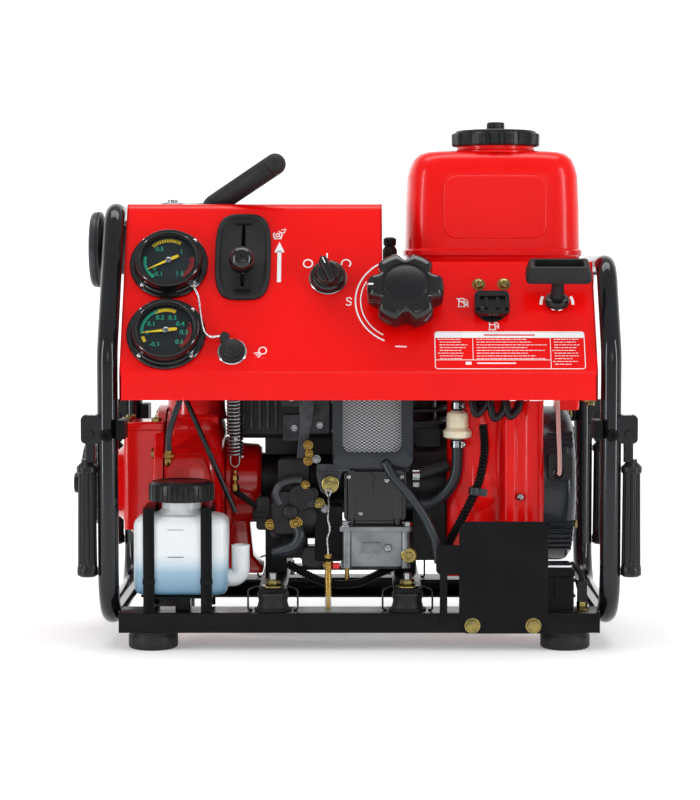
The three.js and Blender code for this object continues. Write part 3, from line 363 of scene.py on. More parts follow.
def bent(corners, bends, steps=10, closed=False):
    corners = [Vector(c) for c in corners]
    n = len(corners)
    path = [] if closed else [corners[0]]
    for i in (range(n) if closed else range(1, n - 1)):
        into = (corners[i] - corners[i - 1]).normalized()
        out = (corners[(i + 1) % n] - corners[i]).normalized()
        r = bends[i if closed else i - 1] if isinstance(bends, (list, tuple)) else bends
        angle = into.angle(out)
        start = corners[i] - into * r * math.tan(angle / 2)
        side = (out - into * out.dot(into)).normalized()
        path += [start + into * r * math.sin(angle * k / steps) +
            side * r * (1 - math.cos(angle * k / steps)) for k in range(steps + 1)]
    if not closed:
        path.append(corners[-1])
    return path


def smooth(points, perSpan=8):
    points = [Vector(p) for p in points]
    ends = [points[0] * 2 - points[1]] + points + [points[-1] * 2 - points[-2]]
    path = []
    for a, b, c, d in zip(ends, ends[1:], ends[2:], ends[3:]):
        for k in range(perSpan):
            t = k / perSpan
            path.append(0.5 * ((2 * b) + (c - a) * t + (2 * a - 5 * b + 4 * c - d) * t * t
                + (3 * b - a - 3 * c + d) * t ** 3))
    path.append(points[-1])
    return path


def hexagon(r):
    return [(r * math.cos(math.pi * k / 3), r * math.sin(math.pi * k / 3)) for k in range(6)]


slotOf = {"redPaint": "red_paint", "redCasting": "red_paint", "blackPaint": "black_paint",
    "railPaint": "black_paint", "blackSatin": "black_paint", "blackPlastic": "black_plastic",
    "glossPlastic": "black_plastic", "rubber": "rubber", "hoseRubber": "rubber",
    "darkCasting": "dark_casting", "greyCasting": "aluminium", "aluminium": "aluminium",
    "steel": "steel", "chrome": "steel", "greyPaint": "grey_paint", "bronze": "bronze",
    "brass": "bronze", "clearLens": "lens", "yellowInk": "needle_yellow",
    "oilTankPlastic": "white_plastic", "milkPlastic": "white_plastic", "creamPlastic": "cream_plastic",
    "braidedRope": "rope"}


def piece(name, shape, finish, body="frame", where=machine, instead=(), soft=35, bevel=0, segments=2):
    mesh = bpy.data.meshes.new(name)
    mesh.from_pydata([Vector(p) for p in shape[0]], [], shape[1])
    mesh.transform(where)
    mesh.validate()
    tidy = bmesh.new()
    tidy.from_mesh(mesh)
    bmesh.ops.recalc_face_normals(tidy, faces=tidy.faces)
    tidy.to_mesh(mesh)
    tidy.free()
    mesh.shade_smooth()
    mesh.set_sharp_from_angle(angle=math.radians(soft))
    made = bpy.data.objects.new(name, mesh)
    bpy.context.scene.collection.objects.link(made)
    made.data.materials.append(finishes[finish])
    if bevel:
        edges = made.modifiers.new("roundEdges", "BEVEL")
        edges.width = bevel / 1000
        edges.segments = segments
        edges.limit_method = "ANGLE"
        edges.angle_limit = math.radians(soft)
        edges.harden_normals = True
    if body:
        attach(made, body)
    if instead:
        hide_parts(*((instead,) if isinstance(instead, str) else instead))
    finish in slotOf
    return made


def lettering(name, words, size, matrix, finish, body="frame", thick=0.05):
    curve = bpy.data.curves.new(name, "FONT")
    curve.body = words
    curve.size = size
    curve.align_x = "CENTER"
    curve.align_y = "CENTER"
    curve.extrude = thick
    curve.resolution_u = 3
    holder = bpy.data.objects.new(name + "Text", curve)
    bpy.context.scene.collection.objects.link(holder)
    bpy.context.view_layer.update()
    mesh = bpy.data.meshes.new_from_object(holder.evaluated_get(bpy.context.evaluated_depsgraph_get()))
    bpy.data.objects.remove(holder)
    mesh.transform(matrix)
    made = bpy.data.objects.new(name, mesh)
    made.data.materials.clear()
    made.data.materials.append(finishes[finish])
    bpy.context.scene.collection.objects.link(made)
    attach(made, body)
    return made


def carriedOver(name, finish, bevel):
    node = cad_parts[name]
    node.data.materials.clear()
    node.data.materials.append(finishes[finish])
    node.data.shade_smooth()
    node.modifiers.new("weld", "WELD").merge_threshold = 0.00001
    flat = node.modifiers.new("flatFaces", "DECIMATE")
    flat.decimate_type = "DISSOLVE"
    flat.angle_limit = math.radians(1)
    edges = node.modifiers.new("roundEdges", "BEVEL")
    edges.width = bevel / 1000
    edges.segments = 3
    edges.limit_method = "ANGLE"
    edges.angle_limit = math.radians(38)
    edges.harden_normals = True


def screwHead(r, h, cross=True):
    head = turned([(0, 0), (r, 0), (r, h * 0.35), (r * 0.82, h * 0.8), (r * 0.5, h), (0, h)], 28)
    if not cross:
        return head
    bar = [box(-r * 0.62, -r * 0.13, h * 0.9, r * 0.62, r * 0.13, h * 1.02),
        box(-r * 0.13, -r * 0.62, h * 0.9, r * 0.13, r * 0.62, h * 1.02)]
    return together(head, *bar)


def scaled(outline, factor):
    return [(x * factor, y * factor) for x, y in outline]


def finer(outline, step=2):
    result = []
    for (x0, y0), (x1, y1) in zip(outline, outline[1:] + outline[:1]):
        n = max(1, math.ceil(math.hypot(x1 - x0, y1 - y0) / step))
        result += [(x0 + (x1 - x0) * k / n, y0 + (y1 - y0) * k / n) for k in range(n)]
    return result


def holed(outline, centre, r, z0, z1):
    # plate with one round hole, for any outline that the hole's centre sees all round
    outline = finer(outline)
    rim = []
    for x, y in outline:
        a = math.atan2(y - centre[1], x - centre[0])
        rim.append((centre[0] + r * math.cos(a), centre[1] + r * math.sin(a)))
    n = len(outline)
    points = [(x, y, z) for z in (z0, z1) for line in (outline, rim) for x, y in line]
    faces = []
    for i in range(n):
        j = (i + 1) % n
        faces += [(i, j, n + j, n + i), (2 * n + i, 3 * n + i, 3 * n + j, 2 * n + j),
            (i, 2 * n + i, 2 * n + j, j), (n + i, n + j, 3 * n + j, 3 * n + i)]
    return points, faces


def nut(r, h):
    hexes = hexagon(r)
    return stack([(scaled(hexes, 0.92), 0), (hexes, h * 0.14), (hexes, h * 0.84), (scaled(hexes, 0.88), h),
        (scaled(hexes, 0.58), h), (scaled(hexes, 0.52), h * 0.45)])


def strip(points, width):
    # flat ribbon on a plane along 2-D points, as a thin slab
    points = [Vector(p) for p in points]
    left, right = [], []
    for i, p in enumerate(points):
        before = points[max(0, i - 1)]
        after = points[min(len(points) - 1, i + 1)]
        d = (after - before).normalized()
        left.append(tuple(p + Vector((-d.y, d.x)) * width / 2))
        right.append(tuple(p - Vector((-d.y, d.x)) * width / 2))
    return left + right[::-1]


def ribbon(points, width, z0=0.02, z1=0.14):
    outline = strip(points, width)
    n = len(outline) // 2
    top = [(x, y, z) for z in (z0, z1) for x, y in outline]
    m = 2 * n
    faces = []
    for i in range(n - 1):
        j = m - 1 - i
        faces += [(i + m, i + 1 + m, j - 1 + m, j + m), (i, j, j - 1, i + 1)]
    faces += [(i, (i + 1) % m, (i + 1) % m + m, i + m) for i in range(m)]
    return top, faces


def arc(cx, cy, r, start, end, steps=24):
    return [(cx + r * math.cos(math.radians(start + (end - start) * k / steps)),
        cy + r * math.sin(math.radians(start + (end - start) * k / steps))) for k in range(steps + 1)]


# tubular frame
hoop = {"r": 11, "x": 266, "frontY": 11, "rearY": 300, "bottomZ": 33, "leanZ": 316,
    "topZ": {-1: 464.7, 1: 407.8}, "bend": 48, "topBend": 34, "pivotZ": 230, "pivotOut": 18.6}
sides = {-1: "left", 1: "right"}
for side, hand in sides.items():
    x = side * hoop["x"]
    top = hoop["topZ"][side]
    topFront = hoop["frontY"] + math.tan(lean) * (top - hoop["leanZ"])
    loop = bent([(x, hoop["frontY"], hoop["bottomZ"]), (x, hoop["frontY"], hoop["leanZ"]),
        (x, topFront, top), (x, hoop["rearY"], top), (x, hoop["rearY"], hoop["bottomZ"])],
        [hoop["bend"], hoop["bend"], hoop["topBend"], hoop["bend"], hoop["bend"]], 14, True)
    piece(f"sideHoop_{hand}", swept(loop, hoop["r"], 40, True), "blackPaint", instead=f"side_hoop_{hand}",
        soft=60)
    for end, legY in (("front", hoop["frontY"]), ("rear", hoop["rearY"])):
        pivot = side * (hoop["x"] + hoop["pivotOut"])
        earShape = rounded(-13, -10, 9, 20, 5)
        ears = [moved(holed(earShape, (0, 0), 3.8, 0, 3.2), turn(90, "X"),
            turn(0 if side > 0 else 180, "Z"), (pivot, legY + y, hoop["pivotZ"]))
            for y in ((-6.7, 9.9) if side > 0 else (-9.9, 6.7))]
        hook = moved(slab(rounded(-6, -10, 6, 10, 3), 0, 4), (pivot, legY, hoop["pivotZ"] + 16))
        lip = moved(slab(rounded(-2, -10, 2, 10, 1.5), -5, 4), (pivot + side * 5, legY,
            hoop["pivotZ"] + 16))
        piece(f"handleBracket_{end}_{hand}", together(*ears, hook, lip), "blackPaint", bevel=0.6)
        facing = -1 if end == "front" else 1
        bolt = together(turned([(0, 0), (7, 0), (7, 1.2), (5.8, 2.2), (5.8, 3.6), (5, 4.2), (3, 4.2),
            (2.6, 2.4), (0, 2.4)], 28))
        piece(f"hoopBolt_{end}_{hand}", moved(bolt, towardFront if facing < 0 else alongY,
            (x, legY + facing * 9.6, hoop["pivotZ"] - 1)), "blackSatin")
        inner = slab(rounded(-10, -19, 10, 19, 2.5), 0, 9)
        piece(f"hoopBlock_{end}_{hand}", moved(inner, turn(-90 * side, "Y"), (side * 255.5, legY + 1, 235)),
            "blackSatin", bevel=0.8)

for name in ("front_base_rail", "rear_base_rail", "engine_cradle"):
    carriedOver(name, "railPaint", 0.7)

foot = {"r": 26.4, "h": 19}
for end, y in (("front", 26), ("rear", 287)):
    for side, hand in sides.items():
        shape = turned([(0, 0.6), (8, 0.6), (9, 0), (foot["r"] - 3, 0), (foot["r"] - 1, 1), (foot["r"], 3),
            (foot["r"], 14), (foot["r"] - 1.4, 15.2), (foot["r"] - 1.4, 17), (foot["r"], 18),
            (foot["r"], foot["h"]), (0, foot["h"])])
        piece(f"rubberFoot_{end}_{hand}", moved(shape, (side * 220, y, 0)), "rubber",
            instead=f"foot_{end}_{hand}", soft=50)
print("frame tubes and feet")

# carrying handles
handle = {"length": 152, "r": 10.2, "flangeR": 11, "out": 3.6, "ribs": 18, "ribDepth": 0.7}


def handleGrip(side):
    levels = []
    for z in [-150, -147, -143] + list(range(-140, -40, 5)) + [-40]:
        t = (z + 143) / 103
        base = handle["r"] - 0.8 * max(0, t) if z > -143 else handle["flangeR"]
        outline = []
        for k in range(handle["ribs"] * 4):
            a = 2 * math.pi * k / (handle["ribs"] * 4)
            cutIn = handle["ribDepth"] if z > -141 and k % 4 in (2, 3) else 0
            outline.append(((base - cutIn) * math.cos(a), (base - cutIn) * math.sin(a)))
        levels.append((outline, z))
    grip = moved(stack(levels), (side * handle["out"], 0, 0))
    collar = moved(turned([(0, -42), (handle["flangeR"] - 1, -42), (handle["flangeR"], -40.5),
        (handle["flangeR"], -35), (8, -32), (6, -30), (6, -27), (0, -27)], 40),
        (side * handle["out"], 0, 0))
    end = moved(turned([(0, -handle["length"]), (8, -handle["length"]),
        (handle["flangeR"], -handle["length"] + 2), (handle["flangeR"], -146), (0, -146)], 40),
        (side * handle["out"], 0, 0))
    neck = stack([(rounded(-5, -5.6, 5, 5.6, 2.5), z) for z in (-30, -12)] +
        [(rounded(-5.5, -6, 5.5, 6, 2.5), 0)])
    knuckle = moved(turned([(0, -6.1), (5.4, -6.1), (6, -5.5), (6, 5.5), (5.4, 6.1), (0, 6.1)], 32), alongY)
    pin = moved(turned([(0, -13), (4.6, -13), (5, -12), (5, -10.2), (3.1, -10.2), (3.1, 10.2), (5, 10.2),
        (5, 12), (4.6, 13), (0, 13)], 24), alongY)
    return together(grip, collar, end, neck, knuckle, pin)


for end, y in (("front", hoop["frontY"]), ("rear", hoop["rearY"])):
    for side, hand in sides.items():
        shape = moved(handleGrip(side), (side * (hoop["x"] + hoop["pivotOut"]), y, hoop["pivotZ"]))
        piece(f"foldingHandle_{end}_{hand}", shape, "blackPlastic", f"carry_handle_{end}_{hand}_body",
            instead=f"carry_handle_{end}_{hand}", soft=30)
print("carrying handles")

# engine mounts
mount = {"x": (-92, 51.5), "y": (25, 286), "z": 40.6, "r": 16.5}
for row, end in enumerate(("front", "rear")):
    for col, hand in enumerate(("left", "right")):
        at = (mount["x"][col], mount["y"][row], mount["z"])
        barrel = turned([(0, 0), (20, 0), (20, 2), (17, 3), (mount["r"], 5), (mount["r"] - 1.2, 10),
            (mount["r"], 15), (mount["r"] + 0.5, 17), (mount["r"], 19), (0, 19)], 48)
        piece(f"rubberMount_{end}_{hand}", moved(barrel, at), "rubber",
            instead=f"engine_mount_{end}_{hand}", soft=45)
        top = (at[0], at[1], at[2] + 24.6)
        washer = turned([(0, 0), (12.5, 0), (12.5, 1.6), (0, 1.6)], 36)
        piece(f"mountNut_{end}_{hand}", moved(together(washer, moved(nut(8, 6.5), (0, 0, 1.6))), top),
            "zincGold", bevel=0.3)
        piece(f"mountStud_{end}_{hand}", moved(turned([(0, 0), (4, 0), (4, 12.5), (3, 13.5), (0, 13.5)],
            20), (top[0], top[1], top[2] + 2)), "steel")
        for way in (-1, 1):
            wire = bent([(at[0] + way * 22, at[1] - 4, at[2] + 0.6),
                (at[0] + way * 26.5, at[1] - 4, at[2] + 0.6), (at[0] + way * 26.5, at[1] - 4,
                at[2] + 22), (at[0] + way * 20, at[1] - 2, at[2] + 24.5),
                (at[0] + way * 14.5, at[1], at[2] + 25.6)], [2, 4, 3], 5)
            piece(f"mountGuard_{end}_{hand}_{'in' if way * at[0] < 0 else 'out'}", swept(wire, 1.1, 10),
                "blackPaint", soft=60)
print("engine mounts")

# control panel
panel = {"left": -252.5, "right": 251, "step": 25, "lipZ": 266, "tall": 205, "low": 132, "thick": 2,
    "foldR": 14, "topR": 14, "flange": 6}


def foldedLine(topS):
    def onSlope(s):
        return (0, s * math.sin(lean), slopeZ + s * math.cos(lean))
    top = onSlope(topS)
    corners = [(0, 0, panel["lipZ"]), (0, 0, slopeZ), top, (0, top[1] + panel["flange"] + 3, top[2])]
    return bent(corners, [panel["foldR"], panel["topR"]], 8)


def sheetMetal():
    points, faces = [], []
    tallLine = foldedLine(panel["tall"])
    slotX = (-136, -114)
    slotS = (92, 183)
    def sOf(p):
        return (p.z - slopeZ) / math.cos(lean)
    def onSlope(s):
        return Vector((0, s * math.sin(lean), slopeZ + s * math.cos(lean)))
    flat = [onSlope(s) for s in (20, 60, slotS[0], panel["low"], 160, slotS[1])]
    line = sorted(tallLine[:11] + flat, key=lambda p: (p.z, p.y)) + tallLine[11:]
    line = [p for i, p in enumerate(line) if i == 0 or (p - line[i - 1]).length > 0.05]
    columns = [panel["left"], -200, slotX[0], slotX[1], -50, panel["step"], 100, 180, panel["right"]]
    for p in line:
        points += [(x, p.y, p.z) for x in columns]
    n = len(columns)
    for k in range(len(line) - 1):
        middle = sOf((line[k] + line[k + 1]) / 2)
        for c in range(n - 1):
            cx = (columns[c] + columns[c + 1]) / 2
            if cx > panel["step"] and middle > panel["low"]:
                continue
            if slotX[0] < cx < slotX[1] and slotS[0] < middle < slotS[1]:
                continue
            faces.append((k * n + c, k * n + c + 1, (k + 1) * n + c + 1, (k + 1) * n + c))
    return points, faces


sheet = piece("panelSheet", sheetMetal(), "redPaint", instead="control_panel", soft=80)
# the sheet's front faces the operator
faceOut = bmesh.new()
faceOut.from_mesh(sheet.data)
faceOut.normal_update()
if sum(face.normal.y * face.calc_area() for face in faceOut.faces) > 0:
    bmesh.ops.reverse_faces(faceOut, faces=faceOut.faces)
bmesh.ops.delete(faceOut, geom=[v for v in faceOut.verts if not v.link_faces], context="VERTS")
faceOut.to_mesh(sheet.data)
faceOut.free()
wall = sheet.modifiers.new("thickness", "SOLIDIFY")
wall.thickness = panel["thick"] / 1000
wall.offset = -1
panelHoles = {"gauges": (-204.5, (128.2, 43), 30.8), "switch": (-33.4, (112,), 8),
    "throttle": (49, (84,), 8), "cock": (141, (76,), 8), "starter": (211, (83,), 11),
    "lamp": (-134.3, (22.6,), 9)}
holes = together(*[moved(turned([(0, -9), (r, -9), (r, 9), (0, 9)], 56), (x, s, 0))
    for x, along, r in panelHoles.values() for s in along])
punch = piece("punch", holes, "redPaint", None, where=slope)
cut = sheet.modifiers.new("holes", "BOOLEAN")
cut.operation = "DIFFERENCE"
cut.solver = "EXACT"
cut.object = punch
bpy.context.view_layer.update()
punched = bpy.data.meshes.new_from_object(sheet.evaluated_get(bpy.context.evaluated_depsgraph_get()))
sheet.modifiers.clear()
sheet.data = punched
bpy.data.objects.remove(punch)
sheet.data.shade_smooth()
sheet.data.set_sharp_from_angle(angle=math.radians(40))
edges = sheet.modifiers.new("roundEdges", "BEVEL")
edges.width = 0.0005
edges.segments = 2
edges.limit_method = "ANGLE"
edges.angle_limit = math.radians(60)
edges.harden_normals = True


def returnPlate(line, x, deep):
    front = [(p.y, p.z) for p in line]
    back = []
    for i, p in enumerate(line):
        a = line[max(0, i - 1)]
        b = line[min(len(line) - 1, i + 1)]
        d = (b - a).normalized()
        back.append((p.y + d.z * deep, p.z - d.y * deep))
    n = len(front)
    points = [(px, y, z) for px in (x, x + panel["thick"]) for y, z in front + back]
    faces = []
    m = 2 * n
    for i in range(n - 1):
        faces += [(i, i + 1, n + i + 1, n + i), (m + i, m + n + i, m + n + i + 1, m + i + 1),
            (i, m + i, m + i + 1, i + 1), (n + i, n + i + 1, m + n + i + 1, m + n + i)]
    faces += [(0, n, m + n, m), (n - 1, m + n - 1, m + m - 1, n + n - 1)]
    return points, faces


tallLine = foldedLine(panel["tall"])[:10]
onTall = Vector((0, 195 * math.sin(lean), slopeZ + 195 * math.cos(lean)))
def cheek(outline, x):
    # closes the corner under the rolled top edge
    n = len(outline)
    points = [(px, y, z) for px in (x, x + panel["thick"]) for y, z in outline]
    return points, [tuple(range(n)), tuple(reversed(range(n, 2 * n)))] + [
        (i, i + n, (i + 1) % n + n, (i + 1) % n) for i in range(n)]


rolled = [(p.y, p.z) for p in foldedLine(panel["tall"])[10:]]
backCorner = (onTall.y + 16 * math.cos(lean), onTall.z - 16 * math.sin(lean))
cheekLine = [(onTall.y, onTall.z), *rolled, backCorner]
onLow = Vector((0, panel["low"] * math.sin(lean), slopeZ + panel["low"] * math.cos(lean)))
lowLine = foldedLine(panel["low"])[:10] + [onLow]
stepLine = [onLow, onTall]
piece("panelReturns", together(returnPlate(tallLine + [onTall], panel["left"], 16),
    returnPlate(lowLine, panel["right"] - panel["thick"], 16), returnPlate(stepLine,
    panel["step"] - panel["thick"], 16), cheek(cheekLine, panel["left"]),
    cheek(cheekLine, panel["step"] - panel["thick"])), "redPaint", bevel=0.5)
topFold = swept([(panel["step"], panel["low"] - 1, -2.4), (panel["right"], panel["low"] - 1, -2.4)], 2.4,
    20)
piece("panelLowEdge", topFold, "redPaint", where=slope)
ear = holed(rounded(2, 127.5, 87, 147.5, 2), (78, 137.5), 3.6, 0, 3)
piece("leverEar", moved(ear, alongX, (-104.5, 0, 0)), "redPaint", where=slope, bevel=0.4)

plate = {"left": 80, "right": 238, "low": 2.4, "high": 46.6}
frameLine = rounded(plate["left"], plate["low"], plate["right"], plate["high"], 3)
frameLine.append(frameLine[0])
linesOfText = []
columnsOfText = ((83, 118), (122, 200), (204, 235))
random.seed(4)
for start, end in columnsOfText:
    s = 37.5
    while s > (14 if start < 200 else 6):
        stop = start + (end - start) * random.uniform(0.62, 0.98)
        x = start + (0 if random.random() < 0.3 else 2)
        while x < stop:
            run = random.uniform(1.6, 5)
            linesOfText.append(ribbon([(x, s), (min(x + run, stop), s)], 0.7))
            x += run + 0.9
        s -= 3.3
linesOfText += [ribbon([(112, 9), (118, 9)], 3.4), ribbon([(124, 9), (165, 9)], 1.4)]
piece("instructionPlate", together(
    ribbon(frameLine, 0.8), ribbon([(plate["left"], 42.6), (plate["right"], 42.6)], 6.6),
    ribbon([(plate["left"], 13), (202, 13)], 0.7), ribbon([(120, 13), (120, 40)], 0.6),
    ribbon([(202, 2.4), (202, 40)], 0.6), *linesOfText), "whiteInk", where=slope)
piece("instructionHeading", ribbon([(132, 42.6), (186, 42.6)], 1.6, 0.15, 0.2), "redInk", where=slope)

# white marks
arrow = together(ribbon([(-86, 107), (-86, 146)], 4.2), slab([(-91.5, 144), (-80.5, 144), (-86, 157)],
    0.02, 0.14))
pumpIcon = together(ribbon(arc(-88, 165.5, 4.6, -220, 80, 18), 1.3),
    ribbon(arc(-88, 165.5, 2, 0, 360, 14), 1.1), ribbon([(-84.5, 168), (-81, 168.5), (-79.4, 173),
    (-84, 172)], 1.1), ribbon([(-92, 161), (-84, 161)], 1.2))
offMark = ribbon(arc(-55, 130, 4.8, 0, 360, 24), 1.5)
startMark = ribbon(arc(-14, 130, 4.8, -50, 200, 20), 1.5)
onMark = ribbon([(-34.5, 136), (-34.5, 143)], 1.5)
throttleArcs = [ribbon(arc(49, 84, r, a, b, 30), w) for r, a, b, w in
    ((53, 121, 245, 1.6), (47.5, 150, 240, 1.2))]
slowMark = ribbon([(38, 29), (50, 28.6)], 1.4)
fastIcon = ribbon([(-8, 86), (-10, 88), (-13, 87.5), (-13.4, 85), (-11, 83.6), (-8.6, 82.2), (-9, 79.4),
    (-12, 78.6), (-14, 80)], 1.3)
lampIcon = together(ribbon(arc(-102, 24, 4, 0, 360, 20), 1.1), *[ribbon([(-107 - k * 2.2, 16 + k * 2.4),
    (-103.6 - k * 1.1, 19 + k * 1.4)], 1) for k in range(3)], ribbon([(-110, 15.5), (-98, 15.5)], 0.01))


def pumpSymbol(x, s, crossed):
    body = rounded(-3.2, -4.8, 2.6, 4.8, 0.8, 2)
    body.append(body[0])
    shapes = [ribbon(body, 1), ribbon([(-3.2, 1.2), (2.6, 1.2)], 0.9), ribbon([(-4.4, -5), (3.8, -5)], 1),
        ribbon([(2.6, 0.5), (4.6, 0), (5, -3), (6.4, -3), (6.2, 2), (4, 4)], 0.9)]
    if crossed:
        shapes.append(ribbon([(-5.4, 5), (7, -5)], 1))
    return moved(together(*shapes), (x, s, 0))


collarMarks = [ribbon(arc(211, 81, 17, a, b, 10), 3) for a, b in ((150, 185), (-5, 30))]
collarMarks.append(ribbon([(228, 117), (236, 117)], 2.4))
piece("whiteMarks", together(arrow, pumpIcon, offMark, startMark, onMark, *throttleArcs, slowMark,
    fastIcon, lampIcon, pumpSymbol(109.5, 82, True), pumpSymbol(141.5, 54, False), *collarMarks),
    "whiteInk", where=slope)
for k, (x, s) in enumerate(((128, 104), (155, 104.5))):
    piece(f"panelScrew_{k + 1}", moved(together(turned([(0, 0), (7, 0), (7, 0.8), (0, 0.8)], 28),
        moved(screwHead(5.4, 3.4), (0, 0, 0.8))), (x, s, 0)), "zincGold", where=slope)
print("control panel")

# gauges
gauge = {"x": -204.5, "flangeR": 42, "bezelR": 35, "h": 17, "canR": 30, "canDepth": 28, "dialZ": 9,
    "needle": 25}
dials = {"vacuum": {"s": 128.2, "angle": 207, "green": (170, 232), "yellow": (62, 132), "red": (-48, 8),
    "numbers": (("0", 212, 0.62), ("0.5", 125, 0.62), ("1", 38, 0.62), ("-0.1", 236, 0.7),
    ("1.5", -52, 0.72))},
    "pressure": {"s": 43, "angle": 187, "green": (112, 186), "yellow": (68, 118),
    "red": (-48, 22), "numbers": (("0", 187, 0.7), ("0.1", 152, 0.62), ("0.2", 112, 0.6),
    ("0.3", 66, 0.6), ("0.4", 28, 0.62), ("0.5", -6, 0.7), ("0.6", -42, 0.72), ("-0.1", 236, 0.7))}}
for kind, dial in dials.items():
    at = slope @ Matrix.Translation((gauge["x"], dial["s"], 0))
    bodyShape = turned([(0, -gauge["canDepth"]), (gauge["canR"], -gauge["canDepth"]),
        (gauge["canR"], 0.3), (gauge["flangeR"] - 0.5, 0.3), (gauge["flangeR"], 0.8),
        (gauge["flangeR"], 3.2), (gauge["flangeR"] - 0.8, 4), (gauge["bezelR"] + 2.2, 4),
        (gauge["bezelR"] + 1.2, 5), (gauge["bezelR"] + 0.6, 14), (gauge["bezelR"], 16.2),
        (gauge["bezelR"] - 1, gauge["h"]), (gauge["bezelR"] - 3.4, gauge["h"]),
        (gauge["bezelR"] - 4, 16.4), (gauge["bezelR"] - 4, 14.4), (gauge["bezelR"] - 6, 14.4),
        (gauge["bezelR"] - 6, gauge["dialZ"]), (0, gauge["dialZ"])], 96)
    piece(f"gaugeCase_{kind}", bodyShape, "glossPlastic", where=at, instead=f"{kind}_gauge_body", soft=30)
    piece(f"gaugeRing_{kind}", turned([(30.7, 14.5), (31.1, 14.5), (31.1, 15.3), (30.7, 15.3),
        (30.7, 14.5)], 96), "steel", where=at)
    inset = gauge["dialZ"] + 0.05
    piece(f"gaugeDial_{kind}", turned([(0, inset), (28.8, inset), (28.8, inset + 0.2), (0, inset + 0.2)],
        72), "dialFace", where=at)
    z0, z1 = inset + 0.22, inset + 0.32
    r = 25.2
    ticks = [ribbon([(math.cos(a) * (r - 1.7), math.sin(a) * (r - 1.7)),
        (math.cos(a) * (r + 1.7), math.sin(a) * (r + 1.7))], 0.5 if k % 5 else 0.8, z0, z1)
        for k in range(26)
        for a in (math.radians(dial["green"][1] - k * (dial["green"][1] - dial["green"][0]) / 25),)]
    piece(f"gaugeGreen_{kind}", together(*ticks, ribbon(arc(0, 0, r, *dial["green"]), 2.2, z0, z1)),
        "greenInk", where=at)
    yellow = [ribbon([(math.cos(a) * 22.8, math.sin(a) * 22.8), (math.cos(a) * 26.6, math.sin(a) * 26.6)],
        1.5, z0, z1) for k in range(12) for a in (math.radians(dial["yellow"][0] +
        k * (dial["yellow"][1] - dial["yellow"][0]) / 11),)]
    if kind == "pressure":
        yellow.append(ribbon(arc(0, 0, 25, 196, 212, 6), 3.4, z0, z1))
    piece(f"gaugeYellow_{kind}", together(*yellow), "yellowInk", where=at)
    piece(f"gaugeRed_{kind}", together(ribbon(arc(0, 0, r + 1.6, *dial["red"]), 0.8, z0, z1),
        *[ribbon([(math.cos(a) * 22.6, math.sin(a) * 22.6), (math.cos(a) * 26.6, math.sin(a) * 26.6)],
        0.5, z0, z1) for k in range(14) for a in (math.radians(dial["red"][0] + k * 4.3),)]), "redInk",
        where=at)
    words = [lettering(f"gaugeNumber_{kind}_{k + 1}", word, 7.4,
        at @ Matrix.Translation((18.5 * (far / 0.66) * math.cos(math.radians(a)),
        18.5 * (far / 0.66) * math.sin(math.radians(a)), z0 + 0.05)), "greenInk") for k,
        (word, a, far) in enumerate(dial["numbers"])]
    needleShape = together(slab([(-12, -1.5), (-6, -1.9), (0, -1.6), (gauge["needle"], -0.35),
        (gauge["needle"], 0.35), (0, 1.6), (-6, 1.9), (-12, 1.5)], 10.4, 11.2),
        turned([(0, 9.4), (2.4, 9.4), (2.4, 10.6), (0, 10.6)], 20))
    needleAt = at @ turn(dial["angle"], "Z")
    piece(f"gaugeNeedle_{kind}", needleShape, "yellowInk", f"{kind}_needle_body", needleAt,
        instead=f"{kind}_gauge_needle", bevel=0.15)
    piece(f"gaugeHub_{kind}", turned([(0, 9.5), (3.4, 9.5), (3.4, 11.6), (2.8, 12), (1, 12.2), (0, 12.2)],
        28), "steel", f"{kind}_needle_body", needleAt)
    piece(f"gaugeGlass_{kind}", turned([(0, 14.8), (30.6, 14.8), (30.6, 15.9), (20, 16.5), (0, 16.8)],
        72), "clearLens", where=at, instead=f"{kind}_gauge_lens")
    for k, a in enumerate((45, 135, 225, 315)):
        piece(f"gaugeScrew_{kind}_{k + 1}", moved(screwHead(2.6, 2),
            (38.4 * math.cos(math.radians(a)), 38.4 * math.sin(math.radians(a)), 4)), "chrome", where=at)
print("gauges")

# primer lever
primer = {"x": -125, "s": 137.5, "pivot": 78, "tilt": 9.5}
at = slope @ Matrix.Translation((primer["x"], primer["s"], 0))


def ovalRing(levels, count=72):
    points, faces = [], []
    for w, l, z in levels:
        outline = bowed(-w / 2, -l / 2, w / 2, l / 2, 0, 3.6, count)
        points += [(x, y, z) for x, y in outline]
    n = count
    m = len(levels)
    for k in range(m):
        j = (k + 1) % m
        faces += [(k * n + i, k * n + (i + 1) % n, j * n + (i + 1) % n, j * n + i) for i in range(n)]
    return points, faces


rim = ovalRing([(60, 106, 0.3), (60, 106, 2.6), (58, 104, 4.6), (54, 100, 5.2), (50, 96, 4.6),
    (48, 94, 2.4), (47, 93, 0.3)])
piece("primerRim", rim, "rubber", where=at, instead="primer_bezel", soft=60)
well = ovalRing([(48, 94, 2.2), (44, 90, 1.0), (4.6, 85, 0.9), (4.6, 85, 0.4), (44, 90, 0.35),
    (48, 94, 0.35)])
piece("primerWell", well, "rubber", where=at, soft=60)
piece("primerSlotEnds", together(box(-9, 40, 1.0, 9, 42, 2.0), box(-9, -42, 1.0, 9, -40, 2.0)),
    "blackSatin", where=at, bevel=0.3)
leverAt = at @ Matrix.Translation((0, 0, -primer["pivot"])) @ turn(primer["tilt"], "X")
knob = turned([(0, 83.6), (4.4, 83.6), (7, 86), (11.2, 91.4), (13.8, 98), (14, 105), (12.8, 111), (10, 115),
    (6, 116.6), (0, 117)], 64)
arm = stack([(rounded(-1.6, -5, 1.6, 5, 0.8), z) for z in (0, 88)])
hub = moved(turned([(0, -12), (8, -12), (8, 16), (0, 16)], 32), alongX)
pin = moved(turned([(0, 15), (3, 15), (3, 27), (0, 27)], 20), alongX)
